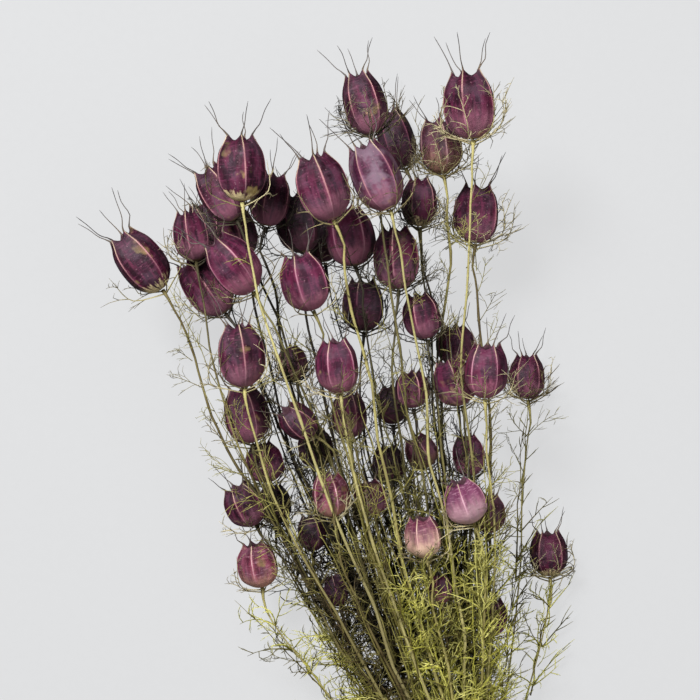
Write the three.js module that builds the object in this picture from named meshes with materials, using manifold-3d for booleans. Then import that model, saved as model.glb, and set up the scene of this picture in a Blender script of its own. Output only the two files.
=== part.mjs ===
// Bunch of dried nigella seed pods, tied with raffia and laid on a surface.
// Millimetres, +Z up. +Y runs from the tie to the pods and +X to the right, as seen from above.
// The origin is on the surface, under the middle of the tie.

import * as THREE from "three";
import { mergeVertices } from "three/addons/utils/BufferGeometryUtils.js";
import Module from "manifold-3d";

const wasm = await Module();
wasm.setup();

// The layout was read from straight above, by an eye at this place, in the plane of the reading height.
const EYE = { x: -51.2, y: 204, height: 900 };
const READING_HEIGHT = 45;

// One row for each pod, as read: x and y of its base, x and y of its crown, its width,
// the height of its middle above the surface (0 where it rests on it), and how much
// higher its crown is than its base.
const HEAD_ROWS = [
  [-126.4, 228.4, -142.8, 249.2, 19, 50, 2],
  [-94.4, 263.6, -95.6, 288.8, 20, 84, 0],
  [-96.8, 256.4, -109.2, 275.6, 17, 54, 0],
  [-84.4, 253.6, -80.8, 274, 16, 52, 0],
  [-112.8, 239.6, -116, 258.8, 14.5, 46, -2],
  [-105.2, 243.2, -111.2, 262, 14.5, 0, 0],
  [-90, 227.6, -105.6, 247.6, 19.5, 68, 4],
  [-101.2, 218.8, -115.2, 239.2, 18.5, 36, -2],
  [-93.6, 240.8, -99.6, 260.8, 16, 28, 0],
  [-58, 256.4, -66.4, 281.2, 21, 82, 2],
  [-69.2, 243.2, -74.8, 265.6, 17.5, 40, -2],
  [-42.4, 290.4, -48.4, 314, 17.5, 64, 0],
  [-29.2, 277.2, -36, 299.2, 15, 0, 0],
  [-35.2, 260.4, -46, 285.6, 20, 78, 2],
  [-2, 288.4, -4.4, 314.4, 21, 74, 0],
  [-14.4, 274, -17.2, 294.8, 17.5, 46, -2],
  [-22.8, 254, -22.8, 272.8, 14.5, 48, 0],
  [-0.8, 246.8, 0.4, 269.2, 18.5, 34, 0],
  [-48.4, 237.6, -52.4, 260, 20, 46, -2],
  [-61.2, 239.2, -64, 259.2, 15, 0, 0],
  [-32, 228.4, -33.2, 252.4, 18.5, 50, 0],
  [-66, 220, -72, 242, 19.5, 68, 3],
  [-45.6, 211.6, -45.6, 231.6, 17, 28, 0],
  [-20.4, 208.8, -24, 226.4, 15.5, 46, 1],
  [-93.6, 189.2, -96.4, 213.6, 19, 70, 1],
  [-54.8, 186.8, -57.2, 207.6, 17.5, 70, 2],
  [-72.4, 192, -76, 205.2, 12, 26, 0],
  [-8.8, 198.4, -10, 213.6, 16, 20, 0],
  [-6.4, 182, -12.4, 199.6, 17, 42, 1],
  [2.8, 184.8, 3.6, 205.6, 17.5, 60, 2],
  [20, 184.4, 19.6, 201.6, 14.5, 0, 0],
  [-26, 180.8, -27.2, 195.2, 14.5, 44, 0],
  [-90.4, 166.8, -95.2, 188.4, 18.5, 44, 0],
  [-66, 170.4, -77.2, 180, 14, 60, 6],
  [-51.2, 168.8, -52.4, 186.4, 14.5, 36, 0],
  [-83.2, 151.2, -87.2, 166.4, 15, 34, 0],
  [-88.8, 133.6, -96.8, 148.4, 16, 32, 3],
  [-58, 137.6, -60.4, 154, 15, 56, 2],
  [-80.4, 134.4, -82.4, 149.6, 13.5, 0, 0],
  [-86.4, 110, -89.6, 127.2, 16.5, 30, 2],
  [-65.6, 123.6, -67.6, 137.6, 11.5, 30, 0],
  [-41.2, 138, -44, 151.6, 13.5, 42, 0],
  [-20.8, 121.2, -22.8, 136.8, 15, 52, 2],
  [-2, 135.2, -8, 151.2, 17, 56, 3],
  [4.4, 130.8, 4.4, 146, 13, 30, 0],
  [28.8, 113.6, 28, 130.8, 15.5, 0, 0],
  [-19.6, 157.2, -26, 168.8, 13, 36, 0],
  [-2.8, 153.6, -4.8, 169.6, 13, 28, 0],
  [-14, 102.8, -15.2, 114, 9.5, 40, 0],
  [5.2, 89.6, 5.2, 104, 13, 26, 0],
  [-55.2, 101.6, -58.4, 113.6, 9, 32, 0],
  [-34.8, 150.4, -36.4, 165.2, 13.5, 22, 0],
  [-34, 174.4, -35.2, 189.6, 13, 18, 0],
  [-63.2, 157.2, -66.4, 172, 14.5, 24, 0],
];

// Pod: rings from base to crown as [share of the length, share of the half width].
const POD_RINGS = [[0.03, 0.42], [0.18, 0.86], [0.42, 1], [0.74, 0.86], [0.98, 0.5]];
const CROWN_DIP = 0.9;
const CARPELS = 5;
const FURROW = 0.92;
const HORN_RISE = 0.05;
// Balls that stand for a pod while things are moved clear of it: [share of length, share of half width].
const POD_BALLS = [[0.25, 0.84], [0.45, 1], [0.65, 0.93], [0.85, 0.7], [0.97, 0.54]];

const AWN = { share: 0.66, root: 0.075, sunk: 1.6, at: 0.37, aside: 0.2, spread: 0.62 };
const STEM = { footRadius: 1.05, neckRadius: 0.85, sides: 3, neck: 5, podGap: 0.35, lowest: 1.6 };
const NEEDLE_SIDES = 3;
const BRACT = { count: 3, rootRadius: 0.4, back: 2.4, flare: 0.66, reach: 0.62 };
const LEAF = { count: 2, rootRadius: 0.4, length: 18, spread: 0.95 };
// The gap kept round needles, and how often a needle's draw is repeated before it is left out.
const CLEAR = 0.4;
const TRIES = 13;
const FLOOR_GAP = 0.8;
// Room kept between stems, and between a stem and a pod, while stems are bent.
const STEM_ROOM = 0.75;
const POD_ROOM = 0.9;

const BUNDLE = { spacing: 2.3, footY: -100, footScatter: 8, footFlare: [1.5, 1.18], sheaves: 5 };
const LINK_RADIUS = 0.55;
// Where the points of a stem lie along Y, past the tie.
const STATION = { first: 36, step: 32, beforeNeck: 10 };
// How a stem's lean at the tie and at its neck compares with the straight way to its pod.
const BOW = { atTie: 1.2, atNeck: 0.45, fromAxis: 0.3 };
const TIE = {
  turns: 5,
  pitch: 1.9,
  crest: 1,
  groove: 0.45,
  wall: 1.7,
  sides: 16,
  flat: 0.12,
  room: 0.45,
  keepOff: 3,
  past: 1.5,
};

const COLOURS = { pod: "#6a3358", stem: "#a9a25c", tie: "#c4a878" };

// Repeatable scatter between 0 and 1 for a few whole numbers.
function scatter(...keys) {
  const weights = [12.9898, 78.233, 37.719, 93.989];
  const value = Math.sin(keys.reduce((sum, key, i) => sum + key * weights[i], 0)) * 43758.5453;
  return value - Math.floor(value);
}

function seenScale(height) {
  return (EYE.height - height) / (EYE.height - READING_HEIGHT);
}

function fromAbove(x, y, height) {
  const scale = seenScale(height);
  return new THREE.Vector3(EYE.x + (x - EYE.x) * scale, EYE.y + (y - EYE.y) * scale, height);
}

// A pod's place: its base and crown points and its half width.
function headFromRow([baseX, baseY, crownX, crownY, width, height, rise], index) {
  const rests = height === 0;
  const halfWidth = (width / 2) * seenScale(rests ? width / 2 : height);
  const middle = rests ? halfWidth : height;
  const base = fromAbove(baseX, baseY, middle - rise / 2);
  const crown = fromAbove(crownX, crownY, middle + rise / 2);
  return { index, rests, halfWidth, base, crown };
}

function ballsOf(head) {
  return POD_BALLS.map(([share, size]) => ({
    centre: head.base.clone().lerp(head.crown, share),
    radius: head.halfWidth * size,
  }));
}

// Moves pods that touch apart, mostly up and down, until all are clear. Pods at rest keep their height.
function settleHeads(heads, { gap = 1, rounds = 200, sideways = 0.3, ease = 0.5 } = {}) {
  for (let round = 0; round < rounds; round += 1) {
    const balls = heads.map(ballsOf);
    const moves = heads.map(() => new THREE.Vector3());
    for (let i = 0; i < heads.length; i += 1) {
      for (let j = i + 1; j < heads.length; j += 1) {
        for (const a of balls[i]) {
          for (const b of balls[j]) {
            const apart = a.centre.clone().sub(b.centre);
            const lack = a.radius + b.radius + gap - apart.length();
            if (lack > 0) {
              const push = apart.normalize().multiplyScalar((lack / 2) * ease);
              moves[i].add(push);
              moves[j].sub(push);
            }
          }
        }
      }
    }
    heads.forEach((head, i) => {
      const move = moves[i].multiply(new THREE.Vector3(sideways, sideways, head.rests ? 0 : 1));
      const lowest = Math.min(head.base.z, head.crown.z) - head.halfWidth;
      move.z = Math.max(move.z, head.rests ? 0 : 0.5 - lowest);
      head.base.add(move);
      head.crown.add(move);
    });
  }
}

// Adds a pod's axis and length, the way to its first rib and across that, and its balls.
// A pod at rest has its first rib straight down.
function finishHead(head) {
  const { base, crown, index, rests } = head;
  const axis = crown.clone().sub(base);
  const length = axis.length();
  axis.normalize();
  const down = new THREE.Vector3(0, 0, -1);
  const side = axis.clone().cross(down).normalize();
  const across = side.clone().cross(axis);
  const turn = rests ? 0 : scatter(index, 1) * 2 * Math.PI;
  const rib = across.clone().multiplyScalar(Math.cos(turn)).addScaledVector(side, Math.sin(turn));
  const ribSide = axis.clone().cross(rib);
  return Object.assign(head, { axis, length, rib, ribSide, balls: ballsOf(head) });
}

// A direction across the pod, at a turn from its first rib.
function outward(head, turn) {
  return head.rib.clone().multiplyScalar(Math.cos(turn)).addScaledVector(head.ribSide, Math.sin(turn));
}

// Slots of stems packed in rows, those nearest the middle of the bundle first: [x, z].
function bundleSlots(count) {
  const slots = [];
  const reach = 6;
  for (let row = -reach; row <= reach; row += 1) {
    for (let place = -reach; place <= reach; place += 1) {
      const x = BUNDLE.spacing * (place + row / 2);
      const z = BUNDLE.spacing * row * Math.sqrt(0.75);
      slots.push({ x, z, distance: Math.round(Math.hypot(x, z) * 1000), angle: Math.atan2(z, x) });
    }
  }
  slots.sort((a, b) => a.distance - b.distance || a.angle - b.angle);
  return slots.slice(0, count);
}

// Values moved to a mean of 0 and scaled to a spread of 1.
function levelled(values) {
  const mean = values.reduce((sum, value) => sum + value, 0) / values.length;
  const spread = Math.sqrt(values.reduce((sum, value) => sum + (value - mean) ** 2, 0) / values.length);
  return values.map((value) => (value - mean) / spread);
}

// Gives each pod the slot that lies the same way from the bundle's middle as the pod does.
function slotOfEachHead(heads, slots) {
  const slotX = levelled(slots.map((slot) => slot.x));
  const slotZ = levelled(slots.map((slot) => slot.z));
  const headX = levelled(heads.map((head) => head.base.x / head.base.y));
  const headZ = levelled(heads.map((head) => head.base.z / head.base.y));
  const order = heads.map((head, i) => i);
  const cost = (i, s) => (headX[i] - slotX[s]) ** 2 + (headZ[i] - slotZ[s]) ** 2;
  for (let pass = 0; pass < 60; pass += 1) {
    for (let i = 0; i < order.length; i += 1) {
      for (let j = i + 1; j < order.length; j += 1) {
        const now = cost(i, order[i]) + cost(j, order[j]);
        const swapped = cost(i, order[j]) + cost(j, order[i]);
        if (swapped < now - 1e-9) {
          [order[i], order[j]] = [order[j], order[i]];
        }
      }
    }
  }
  return order.map((s) => slots[s]);
}

// A value on a smooth curve between two ends with given slopes, at a share t of the span.
function eased(start, startSlope, end, endSlope, span, t) {
  const t2 = t * t;
  const t3 = t2 * t;
  return start * (2 * t3 - 3 * t2 + 1) + startSlope * span * (t3 - 2 * t2 + t)
    + end * (3 * t2 - 2 * t3) + endSlope * span * (t3 - t2);
}

// Half the length of the tie, the bundle's radius in it, the tie's radii, and its middle's height.
const TIE_HALF = (TIE.turns * TIE.pitch) / 2;
const SLOTS = bundleSlots(HEAD_ROWS.length);
const BUNDLE_RADIUS = Math.max(...SLOTS.map((slot) => slot.distance)) / 1000 + STEM.footRadius;
const TIE_INNER = (BUNDLE_RADIUS + TIE.room) / Math.cos(Math.PI / TIE.sides);
const TIE_OUTER = TIE_INNER + TIE.wall;
const TIE_HEIGHT = (TIE_OUTER - TIE.flat) * Math.cos(Math.PI / TIE.sides);

// The points of a stem from its cut end to the pod, before it is bent clear of the others.
function stemPoints(head, slot) {
  const { x: slotX, z: slotZ } = slot;
  const [flareX, flareZ] = BUNDLE.footFlare;
  const footY = BUNDLE.footY + (scatter(head.index, 2) * 2 - 1) * BUNDLE.footScatter;
  const inTie = TIE_HALF + TIE.past;
  const neck = head.base.clone().addScaledVector(head.axis, -STEM.neck);
  const tip = head.base.clone().addScaledVector(head.axis, -STEM.podGap);
  const points = [
    new THREE.Vector3(slotX * flareX, footY, TIE_HEIGHT + slotZ * flareZ),
    new THREE.Vector3(slotX, -inTie, TIE_HEIGHT + slotZ),
    new THREE.Vector3(slotX, inTie, TIE_HEIGHT + slotZ),
  ];
  const span = neck.y - inTie;
  const ways = [[slotX, neck.x, head.axis.x], [TIE_HEIGHT + slotZ, neck.z, head.axis.z]];
  for (let y = STATION.first; y < neck.y - STATION.beforeNeck; y += STATION.step) {
    const [x, z] = ways.map(([from, to, axisPart]) => {
      const lean = (to - from) / span;
      const axisLean = THREE.MathUtils.clamp(axisPart / Math.max(head.axis.y, 0.5), -1, 1);
      const endLean = lean * BOW.atNeck + axisLean * BOW.fromAxis;
      return eased(from, lean * BOW.atTie, to, endLean, span, (y - inTie) / span);
    });
    points.push(new THREE.Vector3(x, y, z));
  }
  points.push(neck, tip);
  return points;
}

// The nearest points of two straight stretches, as shares s and t along them, and their distance.
function nearest(p1, q1, p2, q2) {
  const d1x = q1.x - p1.x;
  const d1y = q1.y - p1.y;
  const d1z = q1.z - p1.z;
  const d2x = q2.x - p2.x;
  const d2y = q2.y - p2.y;
  const d2z = q2.z - p2.z;
  const rx = p1.x - p2.x;
  const ry = p1.y - p2.y;
  const rz = p1.z - p2.z;
  const a = d1x * d1x + d1y * d1y + d1z * d1z;
  const e = d2x * d2x + d2y * d2y + d2z * d2z;
  const b = d1x * d2x + d1y * d2y + d1z * d2z;
  const c = d1x * rx + d1y * ry + d1z * rz;
  const f = d2x * rx + d2y * ry + d2z * rz;
  const clamp = (value) => Math.min(1, Math.max(0, value));
  const room = a * e - b * b;
  let s = room > 1e-9 * a * e ? clamp((b * f - c * e) / room) : 0.5;
  const t = clamp((b * s + f) / e);
  s = clamp((b * t - c) / a);
  const x = rx + d1x * s - d2x * t;
  const y = ry + d1y * s - d2y * t;
  const z = rz + d1z * s - d2z * t;
  return { s, t, distance: Math.hypot(x, y, z), x, y, z };
}

// Bends the stems clear of each other, of the pods and of the surface.
function bendClear(stems, heads, { rounds = 160, last = 50, ease = 0.5, smooth = 0.2 } = {}) {
  const rest = stems.map((points) => points.map((point) => point.clone()));
  const fixedStart = 3;
  const need = STEM.footRadius + STEM.neckRadius + STEM_ROOM;
  for (let round = 0; round < rounds + last; round += 1) {
    const moves = stems.map((points) => points.map(() => new THREE.Vector3()));
    const push = (i, k, share, x, y, z) => {
      moves[i][k].add(new THREE.Vector3(x, y, z).multiplyScalar(1 - share));
      moves[i][k + 1].add(new THREE.Vector3(x, y, z).multiplyScalar(share));
    };
    for (let i = 0; i < stems.length; i += 1) {
      for (let k = fixedStart - 1; k < stems[i].length - 1; k += 1) {
        const [p, q] = [stems[i][k], stems[i][k + 1]];
        for (let j = i + 1; j < stems.length; j += 1) {
          for (let m = fixedStart - 1; m < stems[j].length - 1; m += 1) {
            const [u, v] = [stems[j][m], stems[j][m + 1]];
            if (u.y > q.y + need || v.y < p.y - need) continue;
            const near = nearest(p, q, u, v);
            const lack = need - near.distance;
            if (lack > 0 && near.distance > 1e-6) {
              const size = (lack * ease) / near.distance;
              push(i, k, near.s, near.x * size, 0, near.z * size);
              push(j, m, near.t, -near.x * size, 0, -near.z * size);
            }
          }
        }
        for (const head of heads) {
          if (head.index === i) continue;
          for (const { centre, radius } of head.balls) {
            const along = q.clone().sub(p);
            const share = THREE.MathUtils.clamp(centre.clone().sub(p).dot(along) / along.lengthSq(), 0, 1);
            const apart = p.clone().addScaledVector(along, share).sub(centre);
            const lack = radius + STEM.footRadius + POD_ROOM - apart.length();
            if (lack > 0) {
              apart.normalize().multiplyScalar(lack * 2 * ease);
              push(i, k, share, apart.x, 0, apart.z);
            }
          }
        }
      }
    }
    stems.forEach((points, i) => {
      const away = points.map((point, k) => point.clone().sub(rest[i][k]));
      for (let k = fixedStart; k < points.length - 2; k += 1) {
        const point = points[k].add(moves[i][k]);
        if (round < rounds) {
          const middle = away[k - 1].clone().add(away[k + 1]).multiplyScalar(0.5).sub(away[k]);
          point.addScaledVector(middle, smooth);
        }
        point.z = Math.max(point.z, STEM.lowest);
      }
    });
  }
}

// Bends a shape that stands along Y so that its rings lie on the points, one ring for each point.
// All rings face the same way, which keeps the shape's sides flat from ring to ring.
function ringsOnPoints(shape, points, facing, flat) {
  const side = facing.clone().cross(flat).normalize();
  const up = side.clone().cross(facing).normalize();
  const position = shape.attributes.position;
  for (let v = 0; v < position.count; v += 1) {
    const k = Math.round((position.getY(v) + 0.5) * (points.length - 1));
    const spot = points[k].clone();
    spot.addScaledVector(side, position.getX(v)).addScaledVector(up, position.getZ(v));
    position.setXYZ(v, spot.x, spot.y, spot.z);
  }
  return shape;
}

const ALONG = new THREE.Vector3(0, 1, 0);
const UP = new THREE.Vector3(0, 0, 1);

// The main direction that another direction leans to least.
function directionAcross(direction) {
  const sizes = direction.toArray().map(Math.abs);
  return new THREE.Vector3().setComponent(sizes.indexOf(Math.min(...sizes)), 1);
}

function needleShape(points, rootRadius) {
  const cone = new THREE.ConeGeometry(rootRadius, 1, NEEDLE_SIDES, points.length - 1);
  const facing = points[1].clone().sub(points[0]);
  return ringsOnPoints(cone, points, facing, directionAcross(facing));
}

// A closed solid of a geometry: its doubled points merged and its flat triangles at the poles dropped.
function solidOf(geometry) {
  geometry.deleteAttribute("normal");
  geometry.deleteAttribute("uv");
  const merged = mergeVertices(geometry, 1e-4);
  const corners = merged.index.array;
  const kept = [];
  for (let i = 0; i < corners.length; i += 3) {
    const [a, b, c] = [corners[i], corners[i + 1], corners[i + 2]];
    if (a !== b && b !== c && c !== a) kept.push(a, b, c);
  }
  const vertProperties = new Float32Array(merged.attributes.position.array);
  const triVerts = new Uint32Array(kept);
  return new wasm.Manifold(new wasm.Mesh({ numProp: 3, vertProperties, triVerts })).asOriginal();
}

function joined(solids) {
  return solids.reduce((whole, solid) => whole.add(solid));
}

function meshOf(solid, name, colour, roughness) {
  const { vertProperties, triVerts } = solid.getMesh();
  const geometry = new THREE.BufferGeometry();
  geometry.setAttribute("position", new THREE.BufferAttribute(vertProperties, 3));
  geometry.setIndex(new THREE.BufferAttribute(triVerts, 1));
  const mesh = new THREE.Mesh(geometry, new THREE.MeshStandardMaterial({ color: colour, roughness }));
  mesh.name = name;
  return mesh;
}

// A pod of five carpels: a ridge on each carpel, a furrow between them, and a horned crown that dips inside.
function podShape(head) {
  const { base, axis, rib, ribSide, length, halfWidth } = head;
  const profile = [[0, 0], ...POD_RINGS, [CROWN_DIP, 0]];
  const points = profile.map(([share, size]) => new THREE.Vector2(size * halfWidth, share * length));
  const shape = new THREE.LatheGeometry(points, CARPELS * 2);
  const position = shape.attributes.position;
  const rim = POD_RINGS.length;
  for (let v = 0; v < position.count; v += 1) {
    const ring = v % profile.length;
    const onRib = Math.floor(v / profile.length) % 2 === 0;
    const size = onRib ? 1 : FURROW;
    const rise = ring === rim ? (onRib ? HORN_RISE : -HORN_RISE) * length : 0;
    const spot = base.clone().addScaledVector(axis, position.getY(v) + rise);
    spot.addScaledVector(rib, position.getZ(v) * size).addScaledVector(ribSide, position.getX(v) * size);
    position.setXYZ(v, spot.x, spot.y, spot.z);
  }
  return shape;
}

// The half width of a pod at a share of its length.
function podRadiusAt(head, share) {
  const profile = [[-0.02, 0.3], ...POD_RINGS, [1.06, 0.45]];
  for (let k = 1; k < profile.length; k += 1) {
    const [low, high] = [profile[k - 1], profile[k]];
    if (share <= high[0]) {
      const t = (share - low[0]) / (high[0] - low[0]);
      return head.halfWidth * (low[1] + (high[1] - low[1]) * t);
    }
  }
  return 0;
}

function clearOfPod(point, head, room) {
  const from = point.clone().sub(head.base);
  const along = from.dot(head.axis);
  if (along < -room - 0.02 * head.length || along > head.length * 1.06 + room) return true;
  const aside = Math.sqrt(Math.max(from.lengthSq() - along * along, 0));
  const share = THREE.MathUtils.clamp(along / head.length, -0.02, 1.06);
  return aside > podRadiusAt(head, share) + room;
}

// Keeps every straight stretch already placed, and says whether a new thin piece is clear of them,
// of the pods, of the tie and of the surface.
class Thicket {
  constructor(heads) {
    this.heads = heads;
    this.stretches = [];
  }

  add(owner, points, radii) {
    for (let k = 0; k < points.length - 1; k += 1) {
      const radius = Math.max(radii[k], radii[k + 1]);
      this.stretches.push({ owner, p: points[k], q: points[k + 1], radius });
    }
  }

  // The first stretch is tested against the pods only from its sample number from.
  isClear(owner, ownHead, points, radius, from) {
    if (points.some((point) => point.z < radius + FLOOR_GAP)) return false;
    const samples = 6;
    for (let k = 0; k < points.length - 1; k += 1) {
      for (let n = k === 0 ? from : 0; n <= samples; n += 1) {
        const spot = points[k].clone().lerp(points[k + 1], n / samples);
        const blocks = (head) => head !== ownHead && !clearOfPod(spot, head, radius + CLEAR);
        if (this.heads.some(blocks)) return false;
      }
    }
    if (points.some((point) => Math.abs(point.y) < TIE_HALF + TIE.keepOff)) return false;
    for (const stretch of this.stretches) {
      if (stretch.owner === owner) continue;
      const room = stretch.radius + radius + CLEAR;
      for (let k = 0; k < points.length - 1; k += 1) {
        if (nearest(points[k], points[k + 1], stretch.p, stretch.q).distance < room) return false;
      }
    }
    return true;
  }
}

// The five thin awns that rise beside a pod's horns, each turned or shortened until it is clear.
function awnsOf(head, thicket) {
  const owner = `pod${head.index}`;
  const awns = [];
  for (let carpel = 0; carpel < CARPELS; carpel += 1) {
    const turn = (carpel / CARPELS) * 2 * Math.PI + AWN.aside;
    const foot = head.base.clone().addScaledVector(head.axis, head.length);
    foot.addScaledVector(outward(head, turn), AWN.at * head.halfWidth);
    for (let attempt = 0; attempt < TRIES; attempt += 1) {
      const draw = (key) => scatter(head.index, carpel, attempt, key) - 0.5;
      const out = outward(head, turn + draw(3) * (0.3 + attempt * 0.1));
      const spread = AWN.spread + draw(4) * 0.3 - attempt * 0.02;
      const length = head.length * AWN.share * (1 + draw(5) * 0.3) * 0.93 ** attempt;
      const lean = head.axis.clone().addScaledVector(out, spread).normalize();
      const root = foot.clone().addScaledVector(lean, -AWN.sunk);
      const tip = foot.clone().addScaledVector(lean, length);
      if (thicket.isClear(owner, head, [foot, tip], 0.5, 1)) {
        thicket.add(owner, [foot, tip], [0.5, 0.3]);
        awns.push(needleShape([root, tip], AWN.root * head.halfWidth));
        break;
      }
    }
  }
  return awns;
}

// The way out through the middle of one of a stem's sides, turned by a wobble.
function outOfStem(face, wobble) {
  const turn = ((face + 0.5) / STEM.sides) * 2 * Math.PI + wobble;
  return new THREE.Vector3(Math.sin(turn), 0, Math.cos(turn));
}

// Thread-like bracts that start under the pod and cup its lower half.
function bractsOf(head, owner, thicket) {
  const bracts = [];
  for (let n = 0; n < BRACT.count; n += 1) {
    for (let attempt = 0; attempt < TRIES; attempt += 1) {
      const draw = (key) => scatter(head.index, n + 20, attempt, key) - 0.5;
      const out = outOfStem(n, draw(6) * 0.9).projectOnPlane(head.axis).normalize();
      const reach = BRACT.reach * 0.95 ** attempt;
      const root = head.base.clone().addScaledVector(head.axis, -BRACT.back);
      const flare = head.halfWidth * 2 * BRACT.flare * (1 + draw(7) * 0.2);
      const bend = head.base.clone().addScaledVector(head.axis, head.length * 0.12);
      bend.addScaledVector(out, flare);
      const tip = head.base.clone().addScaledVector(head.axis, head.length * reach);
      tip.addScaledVector(out, flare + head.halfWidth * (0.15 + draw(8) * 0.5));
      const points = [root, bend, tip];
      if (thicket.isClear(owner, null, points, 0.35, 2)) {
        thicket.add(owner, points, [0.5, 0.35, 0.2]);
        bracts.push(needleShape(points, BRACT.rootRadius));
        break;
      }
    }
  }
  return bracts;
}

// Thread-like leaves along a stem, which leave it forwards.
function leavesOf(head, stem, owner, thicket) {
  const leaves = [];
  const first = 2;
  const stretches = stem.length - 2 - first;
  for (let n = 0; n < LEAF.count; n += 1) {
    for (let attempt = 0; attempt < TRIES; attempt += 1) {
      const draw = (key) => scatter(head.index, n + 40, attempt, key);
      const place = first + stretches * ((n + draw(9)) / LEAF.count);
      const k = Math.min(Math.floor(place), stem.length - 3);
      const root = stem[k].clone().lerp(stem[k + 1], 0.15 + 0.6 * (place - k));
      const face = Math.floor(draw(10) * STEM.sides);
      const along = stem[k + 1].clone().sub(stem[k]).normalize();
      const out = outOfStem(face, (draw(12) - 0.5) * 0.7).projectOnPlane(along).normalize();
      const length = LEAF.length * (0.75 + 0.5 * draw(11)) * 0.94 ** attempt;
      const lean = along.clone().addScaledVector(out, LEAF.spread).normalize();
      const points = [root, root.clone().addScaledVector(lean, length)];
      if (thicket.isClear(owner, null, points, 0.3, 0)) {
        thicket.add(owner, points, [0.4, 0.2]);
        leaves.push(needleShape(points, LEAF.rootRadius));
        break;
      }
    }
  }
  return leaves;
}

function stemShape(points) {
  const tube = new THREE.CylinderGeometry(STEM.neckRadius, STEM.footRadius, 1, STEM.sides, points.length - 1);
  return ringsOnPoints(tube, points, ALONG, UP);
}

// Short links inside the tie that hold the stems of one sheaf together.
function linksOf(members, slotOf) {
  const group = new Map(members.map((i) => [i, i]));
  const links = [];
  for (const i of members) {
    for (const j of members) {
      const [a, b] = [slotOf[i], slotOf[j]];
      const apart = Math.hypot(a.x - b.x, a.z - b.z);
      if (group.get(i) === group.get(j) || apart > BUNDLE.spacing * 1.05) continue;
      const [from, to] = [group.get(i), group.get(j)];
      members.filter((k) => group.get(k) === from).forEach((k) => group.set(k, to));
      const link = new THREE.CylinderGeometry(LINK_RADIUS, LINK_RADIUS, 1, NEEDLE_SIDES, 1);
      const ends = [a, b].map((slot) => new THREE.Vector3(slot.x, 0, TIE_HEIGHT + slot.z));
      links.push(ringsOnPoints(link, ends, ends[1].clone().sub(ends[0]), ALONG));
    }
  }
  return links;
}

// Raffia wound round the stems: five turns side by side, flat where they lie on the surface.
function tieShape() {
  const profile = [new THREE.Vector2(TIE_INNER, -TIE_HALF)];
  const crestHalf = TIE.crest / 2;
  for (let turn = 0; turn < TIE.turns; turn += 1) {
    const y = (turn + 0.5) * TIE.pitch - TIE_HALF;
    profile.push(new THREE.Vector2(TIE_OUTER - TIE.groove, y - TIE.pitch / 2));
    profile.push(new THREE.Vector2(TIE_OUTER, y - crestHalf), new THREE.Vector2(TIE_OUTER, y + crestHalf));
  }
  profile.push(new THREE.Vector2(TIE_OUTER - TIE.groove, TIE_HALF));
  profile.push(new THREE.Vector2(TIE_INNER, TIE_HALF), profile[0].clone());
  const turnToFlat = Math.PI / TIE.sides;
  const ring = new THREE.LatheGeometry(profile, TIE.sides, turnToFlat);
  ring.translate(0, 0, TIE_HEIGHT);
  const position = ring.attributes.position;
  for (let v = 0; v < position.count; v += 1) {
    position.setZ(v, Math.max(position.getZ(v), 0));
  }
  return ring;
}

const heads = HEAD_ROWS.map(headFromRow);
settleHeads(heads);
heads.forEach(finishHead);
const slotOf = slotOfEachHead(heads, SLOTS);
const stems = heads.map((head, i) => stemPoints(head, slotOf[i]));
bendClear(stems, heads);

// Stems side by side in the tie make one sheaf.
const byAngle = heads.map((head, i) => i).sort((a, b) => slotOf[a].angle - slotOf[b].angle);
const perSheaf = Math.ceil(heads.length / BUNDLE.sheaves);
const sheafOf = [];
byAngle.forEach((i, place) => {
  sheafOf[i] = Math.floor(place / perSheaf);
});

const thicket = new Thicket(heads);
stems.forEach((points, i) => {
  thicket.add(`stem${i}`, points, points.map(() => STEM.footRadius));
});

const bunch = new THREE.Group();
heads.forEach((head, i) => {
  const solid = joined([podShape(head), ...awnsOf(head, thicket)].map(solidOf));
  bunch.add(meshOf(solid, `pod_${String(i + 1).padStart(2, "0")}`, COLOURS.pod, 0.55));
});

const growth = heads.map((head, i) => {
  const bracts = bractsOf(head, `stem${i}`, thicket);
  return [stemShape(stems[i]), ...bracts, ...leavesOf(head, stems[i], `stem${i}`, thicket)];
});
for (let sheaf = 0; sheaf < BUNDLE.sheaves; sheaf += 1) {
  const members = byAngle.filter((i) => sheafOf[i] === sheaf);
  const shapes = [...members.flatMap((i) => growth[i]), ...linksOf(members, slotOf)];
  bunch.add(meshOf(joined(shapes.map(solidOf)), `stems_and_leaves_${sheaf + 1}`, COLOURS.stem, 0.7));
}

bunch.add(meshOf(solidOf(tieShape()), "raffia_tie", COLOURS.tie, 0.8));

export default bunch;
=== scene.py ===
"""Bunch of dried nigella seed pods, tied with raffia, laid on a plain pale floor and seen from above."""

import sys

import logging
import math
from dataclasses import dataclass, field
from enum import Enum

import bmesh
import bpy
import numpy as np
from mathutils import Matrix, Vector

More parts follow.
